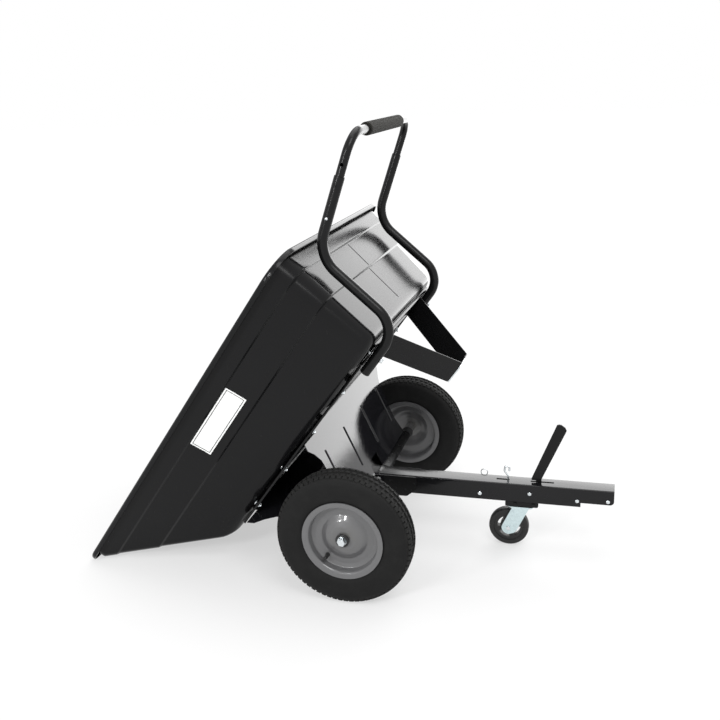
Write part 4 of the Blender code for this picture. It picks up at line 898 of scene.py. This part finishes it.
def tyre():
    """A pneumatic tyre with a bead, a round side wall and a tread of small staggered blocks."""
    crown = (0.1985, 0.0)
    outer = [(0.1046, 0.0290), (0.1075, 0.0325), (0.1120, 0.0338), (0.1215, 0.0340)]
    outer += [tyre_point(degrees) for degrees in (-42, -28, -12, 4, 16, 26, 36, 46, 56, 66, 76)]
    outer += [crown]
    outer += [(radius, -far) for radius, far in reversed(outer[:-1])]
    inner = [(0.1046, -0.0215), (0.130, -0.0290), (0.158, -0.0370), (0.182, -0.0320), (0.1900, -0.0180),
             (0.1900, 0.0180), (0.182, 0.0320), (0.158, 0.0370), (0.130, 0.0290), (0.1046, 0.0215)]
    carcass = turned("tyre_right_rubber", outer + inner, WHEEL_PLACE, "X", 96)
    count = 72
    blocks = []
    for degrees, staggered, wide in ((90, False, 0.0085), (74, True, 0.0085), (60, False, 0.0090)):
        if degrees == 90:
            radius, far = crown
            slope = math.pi / 2
        else:
            radius, far = tyre_point(degrees)
            before, after = tyre_point(degrees - 4), tyre_point(degrees + 4)
            slope = math.atan2(before[1] - after[1], after[0] - before[0])
        for side in ((1,) if degrees == 90 else (1, -1)):
            lean = side * (math.pi / 2 - slope)
            place = (WHEEL_X + side * far, AXLE.y, AXLE.z + radius + 0.0012)
            block = added("block", "cube", place, (0, lean, 0), size=1)
            opened(block)
            axes = Matrix.Rotation(lean, 3, "Y")
            bpy.ops.transform.resize(value=(wide, 0.0125, 0.0064), orient_type="GLOBAL", orient_matrix=axes,
                                     orient_matrix_type="GLOBAL", center_override=place)
            up = Vector((math.sin(lean), 0, math.cos(lean)))
            picked(block, "FACE", lambda place, normal: normal.dot(up) > 0.9)
            bpy.ops.mesh.inset(thickness=0.0011, depth=0.0)
            bpy.ops.mesh.select_all(action="SELECT")
            if staggered:
                bpy.ops.transform.rotate(value=math.pi / count, orient_axis="X", center_override=WHEEL_PLACE)
            bpy.ops.mesh.spin(steps=count - 1, angle=2 * math.pi * (count - 1) / count, dupli=True,
                              center=WHEEL_PLACE, axis=(1, 0, 0))
            put_down()
            blocks.append(block)
    return smoothed(joined("tyre_right_rubber", carcass, *blocks), 38)


def rim(name, path):
    """A pressed rim half: a spun line, its bends rounded, given its sheet's thickness."""
    half = turned(name, path, WHEEL_PLACE, "X", 72, closed=False)
    edged(half, 0.0035, 3, 9)
    worked(half, "SOLIDIFY", thickness=0.0025, offset=0.0, use_even_offset=True)
    return smoothed(edged(half, 0.0006, 2, 50), 40)


outer_path = [(0.1210, 0.0375), (0.1080, 0.0360), (0.10275, 0.0325), (0.10175, 0.0110), (0.0880, 0.0060),
              (0.0700, 0.0060), (0.0540, 0.0160), (0.0365, 0.0230), (0.0168, 0.0250)]
inner_path = [(0.1210, -0.0375), (0.1080, -0.0360), (0.10275, -0.0325), (0.10175, -0.0008), (0.0880, 0.0032),
              (0.0720, 0.0032)]
hub_profile = [(0.0165, 0.031), (0.0165, -0.031), (0.0138, -0.031), (0.0138, 0.031)]
bush_profile = [(0.0135, 0.0150), (0.0135, 0.0313), (0.0205, 0.0313), (0.0205, 0.0350), (0.0101, 0.0350),
                (0.0101, 0.0150)]
valve_profile = [(0.0, 0.0050), (0.0072, 0.0050), (0.0072, 0.0074), (0.0060, 0.0092), (0.0056, 0.0200),
                 (0.0048, 0.0212), (0.0048, 0.0238), (0.0058, 0.0245), (0.0058, 0.0330), (0.0048, 0.0345),
                 (0.0, 0.0345)]
inner_bush_profile = [(radius, -far) for radius, far in bush_profile]
valve_place = (WHEEL_X, AXLE.y - 0.056, AXLE.z - 0.065)
rubber_tyre = tyre()
outer_rim = rim("rim_outer_right_enamel", outer_path)
inner_rim = rim("rim_inner_right_enamel", inner_path)
hub_tube = turned("hub_right_tube", hub_profile, WHEEL_PLACE, "X", 40)
outer_bush = turned("hub_bush_outer_right_nylon", bush_profile, WHEEL_PLACE, "X", 36)
inner_bush = turned("hub_bush_inner_right_nylon", inner_bush_profile, WHEEL_PLACE, "X", 36)
valve = turned("valve_right_stem", valve_profile, valve_place, "X", 24, closed=False)
right_wheel = [
    (rubber_tyre, RUBBER, "tyre", "tyre_right"),
    (outer_rim, ENAMEL, "grey_steel", "rim_outer_right"),
    (inner_rim, ENAMEL, "grey_steel", "rim_inner_right"),
    (smoothed(edged(hub_tube, 0.0006)), ENAMEL, "grey_steel", "hub_right"),
    (smoothed(edged(outer_bush, 0.0006)), NYLON, "nylon", "hub_bush_outer_right"),
    (smoothed(edged(inner_bush, 0.0006)), NYLON, "nylon", "hub_bush_inner_right"),
    (smoothed(edged(valve, 0.0005)), NYLON, "rubber", "valve_right"),
]
for piece, finish, slot, node in right_wheel:
    both_sides(piece, finish, slot, "wheel_right", node)


# The axle's shaft, washers and nuts

shaft_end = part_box("axle_shaft")[1].x
shaft = added("axle_shaft_steel", "cylinder", AXLE, (0, math.pi / 2, 0), vertices=40, radius=0.0095,
              depth=2 * shaft_end)
dressed(smoothed(edged(shaft, 0.0012)), ZINC, "zinc", "chassis", "axle_shaft")
washer_profile = [(0.0135, 0.0353), (0.0135, 0.0369), (0.0099, 0.0369), (0.0099, 0.0353)]
washer = smoothed(edged(turned("axle_washer_right_steel", washer_profile, WHEEL_PLACE, "X", 40), 0.0003))
nut = added("axle_nut_right_steel", "cylinder", (WHEEL_X + 0.0417, AXLE.y, AXLE.z),
            (math.radians(12), math.pi / 2, 0), vertices=6, radius=0.0134, depth=0.0090)
picked(nut, "FACE", lambda place, normal: normal.x > 0.9)
bpy.ops.mesh.inset(thickness=0.0016, depth=0.0006)
put_down()
smoothed(edged(nut, 0.0004))
both_sides(washer, ZINC, "zinc", "chassis", "axle_washer_right")
both_sides(nut, ZINC, "zinc", "chassis", "axle_nut_right")


# Bolts along the drawbar, the clevis pin and its clip, and the lock pin

HEAD = hex_head("bolt_head_pattern", 0.0110, 0.0046)
NUT = hex_head("bolt_nut_pattern", 0.0110, 0.0048, 0.0, 0.0030)


def cross_bolt(name, node):
    """A bolt right through along X: head at the right, nut at the left."""
    centre = middle(node)
    shank = added(name + "_shank", "cylinder", centre, (0, math.pi / 2, 0), vertices=20, radius=BOLT_RADIUS,
                  depth=2 * BOLT_SEAT)
    head = stood(HEAD, name + "_head", (BOLT_SEAT, centre.y, centre.z), (1, 0, 0))
    end = stood(NUT, name + "_nut", (-BOLT_SEAT, centre.y, centre.z), (-1, 0, 0))
    dressed(joined(name, shank, head, end), ZINC, "zinc", BODY_OF[node], node)


for node in ("drawbar_bolt_front", "drawbar_bolt_rear", "lever_pivot_bolt"):
    cross_bolt(node + "_steel", node)

clevis = middle("clevis_pin")
pin_profile = [(0.0, 0.0363), (0.0050, 0.0360), (0.0064, 0.0350), (0.0064, BOLT_SEAT),
               (BOLT_RADIUS, BOLT_SEAT), (BOLT_RADIUS, -0.0485), (0.0030, -0.0503), (0.0, -0.0503)]
pin = turned("clevis_pin_steel", pin_profile, (0, clevis.y, clevis.z), "X", 28, closed=False)
dressed(smoothed(edged(pin, 0.0004)), ZINC, "zinc", "chassis", "clevis_pin")

wire, loop_radius, loop_steps = 0.0014, 0.0108, 16
pin_y, pin_z = AXLE.y + 0.332, 0.1840
eye_y, eye_z = pin_y + loop_radius * 0.35, 0.2235
clip_x = -BOLT_SEAT - 0.010
route = [(pin_y, pin_z - 0.018), (pin_y, eye_z - loop_radius * 1.15)]
for step in range(loop_steps + 1):
    turn = math.radians(215 - 265 * step / loop_steps)
    route.append((eye_y + loop_radius * math.cos(turn), eye_z + loop_radius * math.sin(turn)))
bump = pin_y + BOLT_RADIUS + wire + CLEARANCE
route += [(bump + 0.003, pin_z + 0.020), (bump - 0.0010, pin_z + 0.010), (bump + 0.0006, pin_z + 0.004),
          (bump + 0.0006, pin_z - 0.004), (bump - 0.0010, pin_z - 0.010), (bump + 0.002, pin_z - 0.018)]
corners = [(clip_x, *spot) for spot in route]
clip = bent("clevis_clip_wire", wire, corners, [0.0012] * (len(route) - 2), 12, 3)
dressed(smoothed(clip, 50), ZINC, "zinc", "chassis", "clevis_clip")

lock_y = AXLE.y + 0.4175
route = [(0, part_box("lock_pin")[0].z), (0, 0.2365), (-0.0115, 0.2535), (-0.009, 0.2690), (0.0050, 0.2690),
         (0.0035, 0.2535)]
corners = [(0, lock_y + along, high) for along, high in route]
rod = bent("lock_pin_rod", 0.0030, corners, (0.006, 0.006, 0.005, 0.005), 20, 6)
dressed(smoothed(rod, 50), ZINC, "zinc", "lock_pin", "lock_pin")


# The caster's race, kingpin, wheel and bolts

swivel = middle("caster_kingpin")
low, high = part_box("caster_ball_race")
race_profile = [(0.0205, low.z), (0.0235, low.z + 0.0008), (0.0245, (low.z + high.z) / 2),
                (0.0235, high.z - 0.0008), (0.0205, high.z), (0.0074, high.z), (0.0074, low.z)]
race = turned("caster_race_ring", race_profile, (swivel.x, swivel.y, 0), "Z", 40)
dressed(smoothed(edged(race, 0.0003)), BLUE_ZINC, "zinc", BODY_OF["caster_ball_race"], "caster_ball_race")
low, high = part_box("caster_kingpin")
kingpin_profile = [(0.0, high.z), (0.0060, high.z), (0.0070, high.z - 0.0008), (0.0070, low.z + 0.0014),
                   (0.0100, low.z + 0.0014), (0.0085, low.z), (0.0, low.z)]
kingpin = turned("caster_kingpin_stud", kingpin_profile, (swivel.x, swivel.y, 0), "Z", 32, closed=False)
dressed(smoothed(kingpin, 40), ZINC, "zinc", BODY_OF["caster_kingpin"], "caster_kingpin")

hub = middle("caster_tread")
tread_profile = [(0.0475, 0.0130), (0.0560, 0.0145), (0.0595, 0.0150), (0.0615, 0.0135), (0.0628, 0.0105),
                 (0.0635, 0.0060)]
tread_profile += [(radius, -far) for radius, far in tread_profile[::-1]]
tread = turned("caster_tread_rubber", tread_profile, hub, "X", 64)
dressed(smoothed(tread, 40), CASTER_RUBBER, "rubber", "caster_wheel", "caster_tread")
core = refined("caster_core", "caster_core_nylon", 0.0008)
dressed(core, NYLON, "black_plastic", "caster_wheel", "caster_core")
bush_profile = [(0.0070, 0.018), (0.0070, -0.018), (0.0043, -0.018), (0.0043, 0.018)]
bush = turned("caster_bush_tube", bush_profile, hub, "X", 28)
dressed(smoothed(edged(bush, 0.0005)), ZINC, "zinc", "caster_wheel", "caster_bush")

low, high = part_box("caster_axle_bolt")
bolt_y, bolt_z = (low.y + high.y) / 2, (low.z + high.z) / 2
big_head = hex_head("caster_head_pattern", 0.0130, 0.0036)
shank = added("caster_axle_bolt_shank", "cylinder", (0, bolt_y, bolt_z), (0, math.pi / 2, 0), vertices=24,
              radius=0.0040, depth=high.x - low.x - 0.008)
ends = [stood(big_head, "end", (side * (high.x - 0.004), bolt_y, bolt_z), (side, 0, 0)) for side in (-1, 1)]
dressed(joined("caster_axle_bolt_steel", shank, *ends), ZINC, "zinc", "caster", "caster_axle_bolt")
dropped(big_head)


# Bolts of the caster's plate, its bracket, the stand and the handle's feet

plate_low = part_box("caster_top_plate")[0]
plate_bolt = hex_head("plate_bolt_pattern", 0.0100, 0.0040)
for number, (sx, sy) in enumerate(((-1, -1), (1, -1), (-1, 1), (1, 1)), 1):
    place = (sx * 0.0225, swivel.y + sy * 0.0290, plate_low.z)
    piece = stood(plate_bolt, "caster_plate_bolt_%d" % number, place, (0, 0, -1))
    dressed(piece, ZINC, "zinc", "chassis")
bracket_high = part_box("caster_bracket")[1]
for number, station in enumerate((0.4435, 0.5000), 1):
    for side, label in SIDES:
        place = (side * bracket_high.x, AXLE.y + station, 0.1560)
        piece = stood(plate_bolt, "bracket_bolt_%s_%d" % (label, number), place, (side, 0, 0))
        dressed(piece, STEEL, "black_steel", "chassis")
dropped(plate_bolt)

strap_bolt = hex_head("strap_bolt_pattern", 0.0125, 0.0050, 0.0170)
low_head = hex_head("low_head_pattern", 0.0125, 0.0046)
strap_low = CROSS_LOW - CLEARANCE - STAND_SHEET
shank_z = (SLEEVE_LOW_Z + CROSS_LOW) / 2 + 0.0005
for side, label in SIDES:
    for number, station in enumerate((0.4500, 0.4810), 1):
        place = (side * STAND_BOLT_X, station, strap_low)
        piece = moved(stood(strap_bolt, "stand_bolt_%s_%d" % (label, number), place, (0, 0, -1)), TIPPED)
        dressed(piece, ZINC, "zinc", "tub")
    x = side * HANDLE_X
    shank = added("foot_bolt_shank", "cylinder", (x, FOOT_BOLT_Y, shank_z), vertices=20, radius=BOLT_RADIUS,
                  depth=0.036)
    high_end = stood(low_head, "foot_end", (x, FOOT_BOLT_Y, CROSS_LOW + 0.0033), (0, 0, 1))
    low_end = stood(strap_bolt, "foot_end", (x, FOOT_BOLT_Y, SLEEVE_LOW_Z - 0.0155), (0, 0, -1))
    foot_bolt = moved(joined("handle_foot_bolt_%s_steel" % label, shank, high_end, low_end), TIPPED)
    dressed(foot_bolt, ZINC, "zinc", "tub", "handle_foot_bolt_" + label)
dropped(strap_bolt)
dropped(low_head)
dropped(HEAD)
dropped(NUT)


# The floor, the light and the camera

def studio_floor():
    """A white floor that keeps a soft shadow by the object and fades to pure white."""
    floor = added("studio_floor", "grid", (0, 0, 0), x_subdivisions=8, y_subdivisions=8, size=60)
    finish = Finish("white_floor", (0.80, 0.80, 0.80), 0.9)
    far = finish.length(finish.stretched((1.0, 0.65, 0.0), (0.0, 0.1, 0.0))).above(0.45, 1.15)
    share = finish.looked_at() * (0.50 + far * 0.50)
    diffuse = finish.node("ShaderNodeBsdfDiffuse", None, {"Color": (0.80, 0.80, 0.80, 1.0)})
    glow = finish.node("ShaderNodeEmission", None, {"Color": (1.0, 1.0, 1.0, 1.0), "Strength": 1.05})
    mixed = finish.node("ShaderNodeMixShader", None, {0: share, 1: diffuse, 2: glow})
    finish.tree.links.new(mixed.socket, finish.tree.nodes["Material Output"].inputs["Surface"])
    finish.tree.nodes.remove(finish.shader)
    floor.data.materials.append(finish.material)


def studio_world():
    """White to the camera and to reflections, and a plain light for the rest."""
    world = bpy.data.worlds.new("studio")
    bpy.context.scene.world = world
    world.use_nodes = True
    nodes = Nodes(world.node_tree)
    back = nodes.tree.nodes["Background"]
    nodes.plug(back.inputs["Color"], (1, 1, 1, 1))
    sockets = {"Value": nodes.looked_at(), "To Min": 0.45, "To Max": 1.0}
    nodes.plug(back.inputs["Strength"], nodes.node("ShaderNodeMapRange", None, sockets))


def softbox(name, place, aim, width, height, watts):
    """A soft rectangular lamp that the camera doesn't see."""
    bpy.ops.object.light_add(type="AREA", location=place)
    lamp = bpy.context.active_object
    lamp.name = name
    lamp.data.shape = "RECTANGLE"
    lamp.data.size = width
    lamp.data.size_y = height
    lamp.data.energy = watts
    lamp.rotation_euler = (Vector(place) - Vector(aim)).to_track_quat("Z", "Y").to_euler()
    lamp.visible_camera = False


studio_floor()
studio_world()
softbox("key_softbox", (2.2, 1.6, 3.4), (0, 0, 0.5), 1.8, 1.8, 55)
softbox("back_softbox", (-3.2, 1.0, 1.5), (0, 0.2, 0.7), 3.6, 2.8, 110)
softbox("top_softbox", (-0.4, 0.3, 3.6), (0, 0.1, 0.5), 2.6, 2.6, 45)
softbox("rear_spot", (2.50, -1.05, 1.30), WHEEL_PLACE, 0.26, 0.45, 16)
softbox("side_spot", (2.60, -0.40, 1.75), WHEEL_PLACE, 0.22, 0.40, 12)

# The photograph's camera
CAMERA_PLACE = Vector((2.5889, 0.7242 + AXLE.y, 1.4616))
AZIMUTH = math.radians(106.763)
ELEVATION = math.radians(17.636)
ROLL = math.radians(-2.708)
LENS = 44.32
back = Vector((math.sin(AZIMUTH) * math.cos(ELEVATION), -math.cos(AZIMUTH) * math.cos(ELEVATION),
               math.sin(ELEVATION)))
right = (-back).cross(Vector((0, 0, 1))).normalized()
up = back.cross(right)
across = right * math.cos(ROLL) + up * math.sin(ROLL)
above = up * math.cos(ROLL) - right * math.sin(ROLL)
bpy.ops.object.camera_add()
camera = bpy.context.active_object
camera.name = "photo_camera"
camera.matrix_world = Matrix.Translation(CAMERA_PLACE) @ Matrix((across, above, back)).transposed().to_4x4()
camera.data.sensor_width = 36.0
camera.data.lens = LENS
camera.data.clip_start = 0.05
camera.data.clip_end = 200.0
bpy.context.scene.camera = camera
bpy.context.scene.view_settings.view_transform = "Standard"
